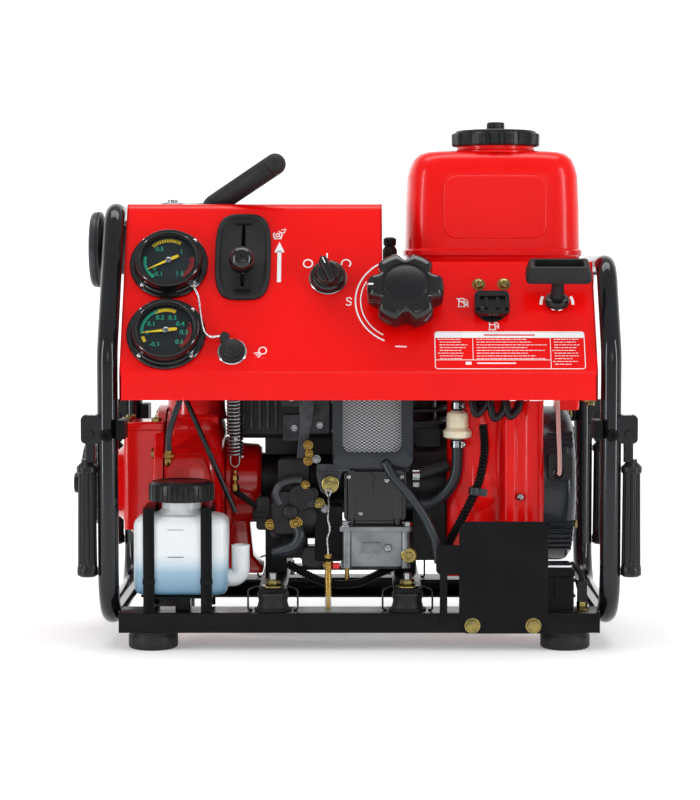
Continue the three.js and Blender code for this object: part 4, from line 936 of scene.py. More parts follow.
crankArm = moved(box(-16, -2.5, 0, -2, 2.5, 42), turn(30 - primer["tilt"], "X"))
piece("primerKnob", knob, "glossPlastic", "primer_lever_body", leverAt, instead="primer_lever", soft=50)
piece("primerArm", together(arm, hub, pin, crankArm), "darkCasting", "primer_lever_body", leverAt,
    bevel=0.4)
dot = turned([(0, 116.4), (1.3, 117.1), (0, 117.3)], 16)
piece("primerKnobDot", dot, "blackSatin", "primer_lever_body", leverAt)

spring = {"r": 8.2, "wire": 1.25, "turns": 44}
backPlate = together(
    moved(slab(rounded(-138, 342, -97, 462, 5), 0, 2.5), towardFront, (0, 153, 0)),
    moved(holed(rounded(-388, 128, -366, 152, 2), (-377.1, 136.3), 3.6, 0, 3), alongX, (-100, 0, 0)))
piece("leverBackPlate", backPlate, "blackSatin", bevel=0.6)
low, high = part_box("primer_spring")
toMachine = machine.inverted()
springLow, springHigh = toMachine @ Vector(low), toMachine @ Vector(high)
springX, springY = (springLow.x + springHigh.x) / 2, (springLow.y + springHigh.y) / 2
coilBottom, coilTop = springLow.z + 6, springHigh.z - 5
coil = []
for k in range(spring["turns"] * 14 + 1):
    a = 2 * math.pi * k / 14
    coil.append((springX + spring["r"] * math.cos(a), springY + spring["r"] * math.sin(a),
        coilBottom + (coilTop - coilBottom) * k / (spring["turns"] * 14)))
springPiece = piece("primerSpring", swept(coil, spring["wire"], 8), "steel", None,
    instead="primer_spring", soft=80)
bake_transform(springPiece)
hookWire = bent([(springX - 5, springY, coilBottom + 1), (springX - 5, springY, springLow.z - 1),
    (springX, springY, springLow.z - 7), (springX + 5, springY, springLow.z - 1),
    (springX + 5, springY, coilBottom + 1)], [3, 3, 3], 5)
piece("springHook", swept(hookWire, 0.9, 8), "steel", soft=80)
rodShape = together(
    moved(turned([(0, 0), (2.2, 0), (2.2, 16), (0, 16)], 20), (springX, springY, 158)),
    moved(nut(4.6, 8), (springX, springY, 160)), moved(nut(4.2, 6), (springX, springY, 172)),
    moved(turned([(0, 0), (3.4, 0), (3.4, 3), (0, 3)], 20), (springX, springY, 180)))
piece("springRod", rodShape, "brass", bevel=0.2)
print("primer lever")

# knobs on the panel
switchAt = slope @ Matrix.Translation((-33.4, 112, 0))
piece("switchPlate", turned([(15, 0.1), (20.4, 0.1), (20.4, 1), (19.6, 1.6), (15, 1.6), (15, 0.1)], 64),
    "steel", where=switchAt)
switchTurned = switchAt @ turn(22, "Z")
switchBody = together(turned([(0, -20), (5.6, -20), (5.6, 2), (18.4, 2), (19.2, 3), (18.6, 7), (17, 9),
    (13.6, 9.8), (12.6, 14), (11.6, 15.4), (0, 15.6)], 64), stack([(rounded(-6.4, -16, 6.4, 15, 3.5), 9),
    (rounded(-5.6, -15.4, 5.6, 15.4, 3.2), 17), (rounded(-3.6, -13.6, 3.6, 16.8, 2.4), 20)]),
    stack([([(-6, 12), (6, 12), (0, 21)], 9), ([(-4.6, 12), (4.6, 12), (0, 20)], 18)]))
piece("switchKnob", switchBody, "glossPlastic", "main_switch_body", switchTurned,
    instead="main_switch_knob", bevel=0.6)
piece("switchMark", box(-0.6, 8, 20, 0.6, 15.5, 20.2), "whiteInk", "main_switch_body", switchTurned)

throttle = {"x": 49, "s": 84, "r": 41, "h": 38, "lobes": 6, "scoop": 9}
dialAt = slope @ Matrix.Translation((throttle["x"], throttle["s"], 0))


def lobes(r, scoop, count=144):
    outline = []
    for k in range(count):
        a = 2 * math.pi * k / count
        dip = max(0, math.cos(throttle["lobes"] * a + math.pi)) ** 1.3
        outline.append(((r - scoop * dip) * math.cos(a), (r - scoop * dip) * math.sin(a)))
    return outline


dialLevels = [(lobes(30, 2), 2), (lobes(32, 3), 5), (lobes(38, 6), 8),
    (lobes(throttle["r"] - 0.6, 8), 12), (lobes(throttle["r"], throttle["scoop"]), 18),
    (lobes(throttle["r"] - 0.4, throttle["scoop"]), 30), (lobes(throttle["r"] - 2,
    throttle["scoop"] - 0.6), 34.5), (lobes(throttle["r"] - 5.5, throttle["scoop"] - 2.4),
    throttle["h"] - 1), (lobes(28, 2), throttle["h"]), (lobes(25, 0), throttle["h"]),
    (lobes(24.4, 0), throttle["h"] - 1.2), (lobes(23, 0), throttle["h"] - 1.2)]
piece("throttleKnob", stack(dialLevels), "glossPlastic", "throttle_body", dialAt, instead="throttle_dial",
    soft=50)
piece("throttleCap", turned([(0, 36), (22.6, 36), (22.6, 36.8), (21.6, 37.4), (0, 37.7)], 72),
    "blackPlastic", "throttle_body", dialAt)
piece("throttleSpindle", turned([(0, -20), (5.8, -20), (5.8, 2), (0, 2)], 28), "steel", "throttle_body",
    dialAt)
piece("throttleMark", together(box(-39.6, -1, 36.6, -31, 1, 37.2), box(-40.9, -1, 24, -40.5, 1, 36)),
    "whiteInk", "throttle_body", dialAt)

cockAt = slope @ Matrix.Translation((141, 76, 0))
piece("cockBase", turned([(12, 0.1), (18, 0.1), (18, 1.6), (17, 2.2), (12, 2.2), (12, 0.1)], 48),
    "blackSatin", where=cockAt)
cockShape = together(
    turned([(0, -20), (5.8, -20), (5.8, 2), (12.6, 2.3), (12, 8), (0, 8)], 40),
    stack([(rounded(-18.6, -14, 18.6, 14, 6), 5), (rounded(-19, -14.5, 19, 14.5, 6), 8),
    (rounded(-18.4, -13.8, 18.4, 13.8, 5.6), 12.6)]),
    box(-17, 5, 12, 17, 8.6, 17), box(-17, -9, 12, -13.6, 8, 16.4), box(13.6, -9, 12, 17, 8, 16.4),
    box(-8, -8, 12, -4.6, 5, 15.6), box(4, -8, 12, 7.4, 5, 15.6), moved(screwHead(2.6, 2), (-11, -9, 12.6)))
piece("cockLever", cockShape, "glossPlastic", "fuel_cock_body", cockAt, instead="fuel_cock_lever",
    bevel=0.8)

lampAt = slope @ Matrix.Translation((-134.3, 22.6, 0))
piece("lampRing", turned([(9, 0.1), (15.6, 0.1), (15.6, 0.9), (14.8, 1.5), (9, 1.5), (9, 0.1)], 48),
    "chrome", where=lampAt)
socketShape = together(turned([(8, -15), (8.9, -15), (8.9, 0.1), (8, 0.1), (8, -15)], 48),
    turned([(0, -15), (8, -15), (8, -13.6), (0, -13.6)], 40), turned([(0, -14), (1, -14), (1, -9.4),
    (0, -9)], 16))
piece("lampSocket", socketShape, "blackPlastic", where=lampAt, soft=40)
capShape = together(turned([(0, -7), (7.6, -7), (7.6, 1.7), (13.4, 1.7), (14, 2.4), (13.6, 4.2),
    (12.4, 5), (11, 5.2), (10.6, 8.6), (9.6, 9.6), (8, 10), (7.4, 12), (6, 13), (0, 13.2)], 56),
    stack([(rounded(-13, 8, -3, 22, 4), 2), (rounded(-12.4, 8, -3.6, 21.4, 4), 5)]))
piece("lampPlug", capShape, "rubber", "lamp_cap_body", lampAt, instead="lamp_socket_cap", soft=40)

# ball chain from the upper gauge's screw to the lamp plug
chain = smooth([(-175.6, 95.4, 6), (-171, 84, 7), (-168, 62, 6), (-164, 44, 6), (-157, 37, 6.5),
    (-148, 38, 6)], 7)
bead = turned([(1.5 * math.cos(math.radians(a)), 1.5 * math.sin(math.radians(a)))
    for a in range(-90, 91, 30)], 10)
beads = [moved(bead, tuple(p)) for p in chain]
eyelet = [(-177.35 + 3.3 * math.cos(math.radians(a)), 101.05 + 3.3 * math.sin(math.radians(a)), 6)
    for a in range(0, 360, 15)]
piece("chainEyelet", together(swept(eyelet, 0.5, 8, True), swept([(-176.5, 97.9, 6), (-175.8, 96.6, 6)],
    0.5, 8)), "chrome", where=slope, soft=60)
chainPiece = piece("plugChain", together(*beads, swept(chain, 0.45, 6)), "chrome", None, where=slope,
    soft=60)
slope @ chain[0]
slope @ chain[-1]
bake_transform(chainPiece)

# starter grip
starterS, starterX = 83, 211
starterAt = machine @ Matrix.Translation((starterX, starterS * math.sin(lean) - math.cos(lean),
    slopeZ + starterS * math.cos(lean) + math.sin(lean))) @ turn(30, "X")
gripLevels = []
for z, half, deep, corner in ((26.4, 31, 8.5, 4), (27.4, 33.4, 10.4, 4), (30, 34.8, 11, 4),
        (36, 34.4, 11, 4), (45, 31.8, 11, 4), (46.6, 31.2, 10.6, 4), (47, 30.4, 10, 4),
        (47, 26.4, 7.4, 2.5), (46.4, 26, 7.2, 2.5), (37.5, 25.4, 6.8, 2.5), (37, 24.6, 6.4, 2.5)):
    gripLevels.append((rounded(-half, -deep, half, deep, corner), z))
stemShape = turned([(0, 5), (7.2, 5), (7.4, 6), (7, 14), (6.6, 22), (7.6, 26), (9.6, 29), (0, 29)], 48)
piece("starterHandle", together(stack(gripLevels), stemShape), "rubber", "starter_grip_body", starterAt,
    instead="starter_grip", soft=35)
piece("starterCollar", turned([(6, -3), (12.6, -3), (13.2, -1), (13, 2), (12, 4.4), (9.4, 5.4),
    (8.2, 5.4), (8.2, -3), (6, -3)], 56), "blackPlastic", where=starterAt)
rope = {"r": 2.4}
low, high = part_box("starter_rope")
grip = {"tilt": math.radians(30), "y": starterS * math.sin(lean) - math.cos(lean),
    "z": slopeZ + starterS * math.cos(lean) + math.sin(lean)}
onAxisOfGrip = [(starterX, grip["y"] - math.sin(grip["tilt"]) * out,
    grip["z"] + math.cos(grip["tilt"]) * out) for out in (7, 2, -4, -9)]
ropePath = smooth(onAxisOfGrip + [(211.8, 60, 330), (213.5, 64, 280), (215, 60, 236), (215.8, 54, 205),
    (216, 52.6, 192), (216, 54, 186), (216, 57, 183.6), (216, 60, 183), (216, 66, 183), (216, 74, 183)],
    8)
ropePiece = piece("starterCord", swept(ropePath, rope["r"], 14), "braidedRope", None,
    instead="starter_rope", soft=80)
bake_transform(ropePiece)
print("knobs and starter")

# fuel tank
tank = {"x": (50, 248), "y": (105, 258), "bottom": 384, "seam": 422, "top": 534}


def tankLevel(inset, z, squareness=5):
    return bowed(tank["x"][0], tank["y"][0], tank["x"][1], tank["y"][1], inset, squareness, 96), z


tankShape = stack([tankLevel(14, tank["bottom"]), tankLevel(7, tank["bottom"] + 3),
    tankLevel(4, tank["bottom"] + 10), tankLevel(2.6, tank["seam"] - 5), tankLevel(0, tank["seam"] - 3),
    tankLevel(0, tank["seam"] + 2), tankLevel(2.6, tank["seam"] + 4), tankLevel(3.4, 470),
    tankLevel(5, tank["top"] - 28), tankLevel(7.4, tank["top"] - 18), tankLevel(11, tank["top"] - 9.5),
    tankLevel(17, tank["top"] - 3.6), tankLevel(25, tank["top"] - 0.8), tankLevel(33, tank["top"])])
neckShape = moved(turned([(0, 532), (46, 532), (46, 534.6), (43.4, 536), (43, 540), (0, 540)], 72),
    (153, 170, 0))
piece("fuelTank", tankShape, "redPaint", instead="fuel_tank", soft=40)
piece("fuelNeck", neckShape, "redPaint", soft=40)
panelOnTank = slab(rounded(92, 436, 206, 506, 16, 8), 0, 6)
piece("tankFrontPanel", moved(panelOnTank, towardFront, (0, 113, 0)), "redPaint", bevel=2.6, segments=4,
    soft=30)



def ribbedOutline(r, depth, count):
    outline = []
    for k in range(count * 8):
        a = 2 * math.pi * k / (count * 8)
        outline.append(((r - (depth if k % 8 in (5, 6, 7) else 0)) * math.cos(a),
            (r - (depth if k % 8 in (5, 6, 7) else 0)) * math.sin(a)))
    return outline


capAt = machine @ Matrix.Translation((153, 170, 540.3))
capShape = together(stack([(ribbedOutline(48, 2.4, 18), 0), (ribbedOutline(49.2, 2.6, 18), 1.2),
    (ribbedOutline(49.5, 2.8, 18), 12.4), (ribbedOutline(48.4, 2.2, 18), 14)]),
    turned([(0, 0), (46, 0), (46, 14), (44.6, 16.6), (42, 17.4), (0, 17.4)], 72),
    turned([(0, 17), (12.6, 17), (12, 18.6), (10, 18.8), (0, 18.8)], 40))
piece("tankCap", capShape, "blackPlastic", "fuel_cap_body", capAt, instead="fuel_cap", soft=35)
piece("tankVent", stack([(ribbedOutline(9.6, 0.7, 9), 18.8), (ribbedOutline(10, 0.8, 9), 20),
    (ribbedOutline(10, 0.8, 9), 25), (ribbedOutline(9, 0.6, 9), 26.8)]), "blackPlastic", "fuel_cap_body",
    capAt, soft=35)
print("fuel tank")

# oil tank
oil = {"x": (-240.4, -139.7), "y": (8, 68), "neckX": -190, "neckY": 35.8}


def oilLevelOutline(inset, z):
    return bowed(oil["x"][0], oil["y"][0], oil["x"][1], oil["y"][1], inset, 5.5, 96), z


bottle = stack([oilLevelOutline(9, 57), oilLevelOutline(4, 58.4), oilLevelOutline(1.4, 61.4),
    oilLevelOutline(0, 67), oilLevelOutline(0, 132), oilLevelOutline(1.4, 136.6),
    oilLevelOutline(4.6, 140.2), oilLevelOutline(10, 142.4), (bowed(-219, 9.5, -161, 62, 0, 3, 96),
    143.4), (bowed(-213.5, 13, -166.5, 58.6, 0, 2.3, 96), 146), (bowed(-211, 14.8, -169, 56.8, 0, 2, 96),
    149.5), (bowed(-211, 14.8, -169, 56.8, 0, 2, 96), 156.7)])
spout = together(swept(bent([(-146, 35.8, 74), (-127, 35.8, 74), (-127, 35.8, 108)], [9], 10), 9.6, 32),
    moved(turned([(0, 0), (8.4, 0), (9.8, 1.2), (9.8, 3), (7, 3.4), (7, 1), (0, 1)], 36),
    (-127, 35.8, 106)))
piece("oilBottle", bottle, "oilTankPlastic", instead="oil_tank", soft=40)
piece("oilSpout", spout, "milkPlastic", soft=40)
piece("oilLevelMark", moved(together(ribbon([(-203, 99), (-186, 99)], 0.7, 0, 0.3),
    ribbon([(-203, 128), (-186, 128)], 0.5, 0, 0.2)), towardFront, (0, 7.9, 0)), "greyCasting")
oilCapAt = machine @ Matrix.Translation((oil["neckX"], oil["neckY"], 157))
piece("oilCap", together(stack([(ribbedOutline(34.4, 0.9, 40), 0), (ribbedOutline(35.2, 1.1, 40), 1.4),
    (ribbedOutline(35.2, 1.1, 40), 16.4), (ribbedOutline(34.2, 0.8, 40), 18)]),
    turned([(0, 0), (33.6, 0), (33.6, 18), (31.6, 20.6), (28, 21.4), (26.6, 20.6), (0, 20.6)], 72)),
    "blackPlastic", "oil_cap_body", oilCapAt, instead="oil_cap", soft=35)
for k, x in enumerate((-223, -162)):
    piece(f"strapBuckle_{k + 1}", together(box(x - 6.6, 5, 70, x + 6.6, 6.8, 76)), "blackSatin", bevel=0.5)
print("oil tank")

# battery and its guard plate
guardOutline = rounded(105.4, 19, 199.4, 138, 9, 8)
guardShape = together(
    moved(slab(guardOutline, 0, 2.5), towardFront, (0, -0.3, 0)),
    moved(slab(rounded(81, 82, 118, 113, 5, 6), 0.05, 2.45), towardFront, (0, -0.3, 0)),
    box(85, -2.8, 28.3, 93, -0.3, 88))
piece("guardPlate", guardShape, "blackSatin", instead="battery_guard", bevel=0.5)
for k, x in enumerate((119.5, 184)):
    boltHead = together(turned([(0, 0), (8.4, 0), (8.4, 1), (0, 1)], 36), moved(nut(7, 4.6), (0, 0, 0.6)),
        turned([(0, 5), (4.6, 5), (4.4, 5.5), (0, 5.6)], 24))
    piece(f"guardBolt_{k + 1}", moved(boltHead, towardFront, (x, -2.8, 27.5)), "zincGold", bevel=0.3)
batteryShape = together(
    stack([(rounded(112, 14, 228.5, 62, 3), 40.6), (rounded(112, 14, 228.5, 62, 3), 77.6)]),
    stack([(rounded(111, 13, 229.5, 63, 3), 77.6), (rounded(111, 13, 229.5, 63, 3), 84.6),
    (rounded(114, 16, 226.5, 60, 3), 86.6)]),
    box(207, 13.2, 55, 219, 15, 76))
piece("batteryCase", batteryShape, "blackSatin", instead="battery", bevel=0.8)
piece("batteryTerminal", together(moved(nut(6, 8), (238, 25, 42)), moved(turned([(0, 0), (7.6, 0),
    (7.6, 1.4), (0, 1.4)], 28), (238, 25, 40.8))), "zincGold", bevel=0.3)
piece("batteryPlate", stack([(rounded(196, 18, 227, 58, 3), 86.4), (rounded(196, 18, 227, 58, 3), 89)]),
    "chrome", bevel=0.5)
piece("batteryStrap", together(box(233, 20, 49, 243, 30, 72), swept(smooth([(238, 25, 70), (236, 28, 80),
    (226, 32, 90)], 8), 3, 16)), "rubber", bevel=0.8)
print("battery")


# pump
axisY, axisZ = 160, 164


def onAxis(shape):
    return moved(shape, alongX, (0, axisY, axisZ))


volute = onAxis(turned([(78, -213), (83, -213), (86.4, -211.4), (88, -207), (88, -172), (86, -163),
    (80, -155), (70, -150), (50, -147.3), (14, -147.3), (14, -161), (78, -161), (78, -213)], 96))
ribsOnVolute = [moved(box(-205, -3, 80, -155, 3, 90), turn(a, "X"), (0, axisY, axisZ))
    for a in (30, 62, 118, 150)]
riser = moved(turned([(23, 73), (34, 73), (32, 84), (31, 110), (31, 190), (33, 196), (38, 198), (42, 199),
    (42, 203.6), (23, 203.6), (23, 73)], 72), (-181, 150, 164))
piece("pumpVolute", together(volute, *ribsOnVolute), "redCasting", instead="pump_casing", soft=35)
piece("pumpRiser", riser, "redCasting", soft=35)
cover = onAxis(turned([(31, -300), (40, -300), (40, -292), (38, -290), (38, -268), (44, -262), (58, -252),
    (62, -240), (64, -226), (86, -223.6), (88, -222), (88, -213.3), (31, -213.3), (31, -300)], 96))
drum = together(
    stack([(rounded(-258, 96, -213.3, 146, 6), 118), (rounded(-258, 96, -213.3, 146, 6), 228)]),
    stack([(rounded(-261, 93, -213.3, 149, 4), 228), (rounded(-261, 93, -213.3, 149, 4), 235),
    (rounded(-259, 95, -214, 147, 4), 237)]))
piece("suctionCover", cover, "redCasting", instead="suction_cover", soft=35)
piece("suctionDrum", drum, "redCasting", bevel=1.5, soft=35)
for k, (x, y) in enumerate(((-254, 100), (-222, 100), (-254, 142), (-222, 142))):
    piece(f"drumBolt_{k + 1}", moved(nut(5.6, 5), (x, y, 236.6)), "zincGold", bevel=0.3)
for k in range(6):
    a = math.radians(60 * k + 30)
    boltAt = (-222, axisY + 76 * math.cos(a), axisZ + 76 * math.sin(a))
    piece(f"coverBolt_{k + 1}", moved(nut(6, 5), turn(-90, "Y"), boltAt), "zincGold", bevel=0.3)
suctionCapShape = onAxis(turned([(0, -319), (10.4, -319), (11.5, -318), (11.5, -315), (7, -312.6),
    (7, -309.6), (36, -308.6), (43, -307), (45, -304.6), (45, -287), (44, -286), (40.8, -286),
    (40.8, -300.3), (0, -300.3)], 80))
piece("suctionCap", suctionCapShape, "blackPlastic", "suction_cap_body", instead="suction_cap", soft=35)
fins = [moved(box(-306, 43, -2.2, -288, 45.8, 2.2), turn(30 * k, "X"), (0, axisY, axisZ))
    for k in range(12)]
piece("suctionCapRibs", together(*fins), "blackPlastic", "suction_cap_body", bevel=0.5)

# discharge valve
valveZ = 425.2
valve = together(moved(turned([(23, 0), (42, 0), (42, 9), (38, 10), (34, 13), (33, 20), (33, 57),
    (23, 57), (23, 0)], 72), (-181, 150, 368.3)), moved(turned([(24, -296.7), (38, -296.7), (40, -295.8),
    (41.6, -293.6), (41.6, -286), (40, -284.6), (34, -283.6), (30, -281.6), (27.5, -281), (27.5, -250),
    (33, -247), (36, -243), (36, -176), (34, -168), (28, -155), (18, -148), (0, -146), (0, -172),
    (24, -172), (24, -296.7)], 72), alongX, (0, 150, valveZ)), moved(turned([(0, 30), (15, 30), (13, 36),
    (12, 38), (12, 42), (0, 42)], 40), (-207, 150, valveZ)))
piece("dischargeValve", valve, "greyCasting", instead="discharge_valve", soft=35)
piece("dischargeLugs", moved(turned([(39, -290), (42, -290), (42, -287.4), (39, -287.4), (39, -290)], 72),
    alongX, (0, 150, valveZ)), "rubber", bevel=0.3)
hubZ = 467.5
leverPath = bent([(-207, 150, hubZ + 5), (-178, 146, hubZ + 5), (-160, 137.6, hubZ + 6),
    (-150, 130, hubZ + 14)], [14, 10], 6)
piece("dischargeArm", together(moved(turned([(0, 0.3), (12, 0.3), (13, 1.3), (13, 8), (12, 9.3), (6, 9.8),
    (5.4, 13), (0, 13)], 40), (-207, 150, hubZ)), swept(leverPath, 4.6, 20)), "steel",
    "discharge_lever_body", instead="discharge_lever", soft=50)
gripFrom, gripTo = Vector((-166, 142.5, hubZ + 3)), Vector((-91, 86, 517))
gripLength = (gripTo - gripFrom).length
gripTurn = Vector((0, 0, 1)).rotation_difference(gripTo - gripFrom).to_matrix().to_4x4()
domed = [(11.8 * math.cos(math.radians(a)), gripLength + 11.8 * math.sin(math.radians(a)))
    for a in range(0, 90, 9)]
gripShape = turned([(0, 0), (9, 0), (10.6, 2), (11.8, 8), (11.8, 30), (11.8, gripLength - 6),
    (11, gripLength - 5), (11, gripLength - 3.6), (11.8, gripLength - 2.6)] + domed +
    [(0, gripLength + 11.8)], 56)
piece("dischargeGrip", moved(gripShape, gripTurn, tuple(gripFrom)), "rubber", "discharge_lever_body",
    soft=45)
print("pump and discharge")

# engine
for name, finish in {"crankcase": "darkCasting", "cylinder": "darkCasting", "muffler": "darkCasting",
        "crankshaft": "steel", "flywheel_fan": "aluminium", "impeller": "bronze",
        "recoil_pulley": "blackPlastic"}.items():
    carriedOver(name, finish, 1.2 if name in ("crankcase", "muffler") else 0.4)

rimOuter = rounded(-28.6, 189, 58, 330, 10, 8)
rimInner = rounded(-17.7, 207, 45.5, 322, 9, 8)


def picture(outer, inner, z0, z1, lift):
    n = len(outer)
    points = [(x, y, z0) for x, y in outer] + [(x, y, z1 - lift) for x, y in outer]
    mid = [((a[0] * 0.75 + b[0] * 0.25), (a[1] * 0.75 + b[1] * 0.25)) for a, b in zip(outer, inner)]
    points += [(x, y, z1) for x, y in mid]
    points += [(x, y, z1 - lift * 0.4) for x, y in inner] + [(x, y, z0) for x, y in inner]
    faces = []
    for k in range(5):
        j = (k + 1) % 5
        faces += [(k * n + i, k * n + (i + 1) % n, j * n + (i + 1) % n, j * n + i) for i in range(n)]
    return points, faces


piece("silencerBody", moved(slab(rounded(-20, 196, 48, 330, 6), 0, 50), towardFront, (0, 108, 0)),
    "blackPlastic", instead="intake_silencer", bevel=1)
piece("silencerRim", moved(picture(rimOuter, rimInner, 0, 8, 3), towardFront, (0, 58, 0)), "greyPaint",
    soft=40)
piece("silencerScreen", moved(slab(rounded(-18.5, 206, 46.5, 323, 8, 8), 0, 1.2), towardFront,
    (0, 57, 0)), "wireScreen")
piece("silencerBottom", together(moved(slab(rounded(-24, 183, 54, 196, 4), 0, 40), towardFront,
    (0, 104, 0))), "blackPlastic", bevel=1.5)

carb = together(
    moved(slab(rounded(-16.3, 132, 50.7, 186, 5), 0, 38), towardFront, (0, 96, 0)),
    moved(slab(rounded(-10, 127.4, 44, 150, 4), 0, 32), towardFront, (0, 94, 0)),
    moved(slab(rounded(-12, 134, -4, 188, 3), 0, 3), towardFront, (0, 58.5, 0)),
    moved(slab(rounded(36, 134, 47, 188, 3), 0, 3), towardFront, (0, 58.5, 0)),
    moved(turned([(0, 0), (17, 0), (17, 10), (0, 10)], 40), alongY, (17, 94, axisZ)),
    moved(slab(rounded(10, 160, 16, 184, 2.5), 0, 2), towardFront, (0, 58.4, 0)))
columns = [moved(turned([(0, 0), (5, 0), (5, 56), (4, 58), (0, 58)], 32), (x, 60.5, 128))
    for x in (-9, 42.5)]
piece("carburettorColumns", together(*columns), "blackPaint", soft=40)
for k, (x, z) in enumerate(((-11, 180), (46, 180), (2, 140), (30, 176))):
    piece(f"carburettorScrew_{k + 1}", moved(screwHead(2.6, 2.4), towardFront,
        (x, 57.6 if 0 < x < 40 else 55.6, z)), "steel")
piece("carburettorBody", carb, "glossPlastic", instead="carburettor", bevel=0.9)
bowlBase = together(stack([(rounded(-21.6, 44, 57.4, 94, 4), 122), (rounded(-21.6, 44, 57.4, 94, 4),
    127)]), stack([(rounded(-12, 50, 45, 90, 5), 81), (rounded(-15, 48, 49, 92, 5), 84),
    (rounded(-15.5, 47.6, 50, 92, 5), 122.4)]), moved(turned([(0, 0), (5, 0), (5, 44), (0, 44)], 28),
    (-13, 49, 82)), moved(turned([(0, 0), (5, 0), (5, 44), (0, 44)], 28), (50, 49, 82)),
    moved(slab(rounded(2, 99, 24, 110, 3), 0, 1.2), towardFront, (0, 47.2, 0)),
    moved(slab(rounded(3.4, 100.4, 22.6, 108.6, 2), 0, 1.7), towardFront, (0, 47.2, 0)),
    moved(slab(rounded(-20, 80.4, -8, 90, 3), 0, 14), towardFront, (0, 70, 0)))
piece("floatBowl", bowlBase, "aluminium", instead="float_bowl", bevel=0.9)
bowlTrim = together(
    moved(screwHead(4.6, 2.6), towardFront, (31, 47.4, 104)),
    moved(nut(5.6, 6), (-15, 50, 127)), moved(nut(5.2, 5), (52, 50, 127)),
    moved(turned([(0, 0), (6.4, 0), (6.4, 1.4), (0, 1.4)], 28), (-15, 50, 127)))
piece("bowlScrews", bowlTrim, "steel", bevel=0.3)
bowlDrain = together(moved(turned([(0, 0), (9, 0), (9, 2), (7.6, 3), (7.6, 4.6), (0, 4.6)], 32),
    towardFront, (53.5, 48, 96)), moved(nut(4.8, 7), towardFront, (53.5, 48, 96)))
piece("bowlDrain", bowlDrain, "zincGold", bevel=0.3)
piece("bowlSpigot", moved(turned([(0, 0), (2.4, 0), (2.4, 16), (0, 16)], 20), (-13, 62, 66)), "brass")
chokeBolt = together(
    moved(turned([(0, 0), (9.6, 0), (9.6, 2.4), (8, 3.4), (0, 3.4)], 36), towardFront, (-31, 56, 172)),
    moved(slab([(-3.6, -3.6), (3.6, -3.6), (3.6, 3.6), (-3.6, 3.6)], 2, 7.6), towardFront, (-31, 56, 172)))
piece("chokeBolt", chokeBolt, "zincGold", bevel=0.5)
bracket = together(moved(slab([(-46, 190), (-24, 194), (-18, 194), (-18, 186), (-24, 164), (-34, 158),
    (-42, 164), (-46, 180)], 0, 2.4), towardFront, (0, 62, 0)), moved(slab(rounded(-46, 186, -10, 194,
    2), 0, 3), towardFront, (0, 58, 0)))
piece("linkBracket", bracket, "greyCasting", bevel=0.8)
blackBox = moved(slab(rounded(-48, 88, -18, 148, 4), 0, 34), towardFront, (0, 92, 0))
piece("coilBox", blackBox, "blackSatin", bevel=1.2)
print("engine front")

# charging unit and air duct between pump and cylinder
duct = {"x": (-146, -13), "y": (118, 194), "z": (217, 312)}
ductShell = stack([(rounded(duct["x"][0] + 4, duct["y"][0] + 4, duct["x"][1] - 4, duct["y"][1] - 4, 8),
    duct["z"][0]), (rounded(duct["x"][0], duct["y"][0], duct["x"][1], duct["y"][1], 8),
    duct["z"][0] + 5), (rounded(duct["x"][0], duct["y"][0], duct["x"][1], duct["y"][1], 8),
    duct["z"][1] - 6), (rounded(duct["x"][0] + 4, duct["y"][0] + 4, duct["x"][1] - 4, duct["y"][1] - 4,
    8), duct["z"][1])])
piece("ductShell", ductShell, "darkCasting", bevel=0.8)
ductRibs = [box(duct["x"][0] + 8 + 9 * k, duct["y"][0] - 3, duct["z"][0] + 10, duct["x"][0] + 11 + 9 * k,
    duct["y"][0] + 1, duct["z"][1] - 12) for k in range(6)]
ductPads = [moved(slab(rounded(x, z, x + w, z + h, 3), 0, 5), towardFront, (0, duct["y"][0] + 1, 0))
    for x, z, w, h in ((-84, 214, 26, 30), (-54, 222, 22, 54), (-86, 252, 24, 40))]
rearFins = [box(duct["x"][0] + 8 + 11 * k, duct["y"][1] - 1, duct["z"][0] + 10, duct["x"][0] + 12 + 11 * k,
    duct["y"][1] + 3, duct["z"][1] - 10) for k in range(11)]
topFins = [box(duct["x"][0] + 10, duct["y"][0] + 10 + 11 * k, duct["z"][1] - 1, duct["x"][1] - 10,
    duct["y"][0] + 13 + 11 * k, duct["z"][1] + 3) for k in range(6)]
piece("ductRibs", together(*ductRibs, *ductPads), "greyCasting", bevel=0.8)
piece("ductFins", together(*rearFins, *topFins), "darkCasting", bevel=0.8)
for k, (x, z) in enumerate(((-71, 229), (-43, 232), (-43, 264), (-74, 262), (-26, 226), (-26, 258))):
    piece(f"ductBolt_{k + 1}", moved(nut(4.6, 4), towardFront, (x, duct["y"][0] - 3.8, z)), "steel",
        bevel=0.3)
ductLegs = [moved(slab(rounded(-104, 198, -18, 219, 3), 0, 55), towardFront, (0, 185, 0))]
bell = onAxis(turned([(42.8, -147), (52, -147), (52, -141), (46, -137), (44, -112), (40, -108),
    (36, -108), (36, -138), (42.8, -138), (42.8, -147)], 72))
pumpFoot = stack([(rounded(-147, 132, -107, 188, 5), 65.2), (rounded(-147, 132, -107, 188, 5), 72),
    (rounded(-147, 140, -118, 180, 5), 84), (rounded(-147, 142, -122, 178, 5), 124)])
piece("pumpBell", together(bell, pumpFoot), "redCasting", bevel=1.2, soft=40)
piece("ductLegs", together(*ductLegs), "darkCasting", bevel=0.8)
apron = moved(slab([(96, 66), (128, 66), (128, 150), (100, 150), (92, 120)], 0, 3), towardFront,
    (0, 104, 0))
piece("shroudApron", apron, "redPaint", bevel=0.6)
sump = moved(slab(rounded(58, 84, 96, 150, 6), 0, 24), towardFront, (0, 122, 0))
piece("sumpSide", sump, "darkCasting", bevel=1.5)
print("engine bay")

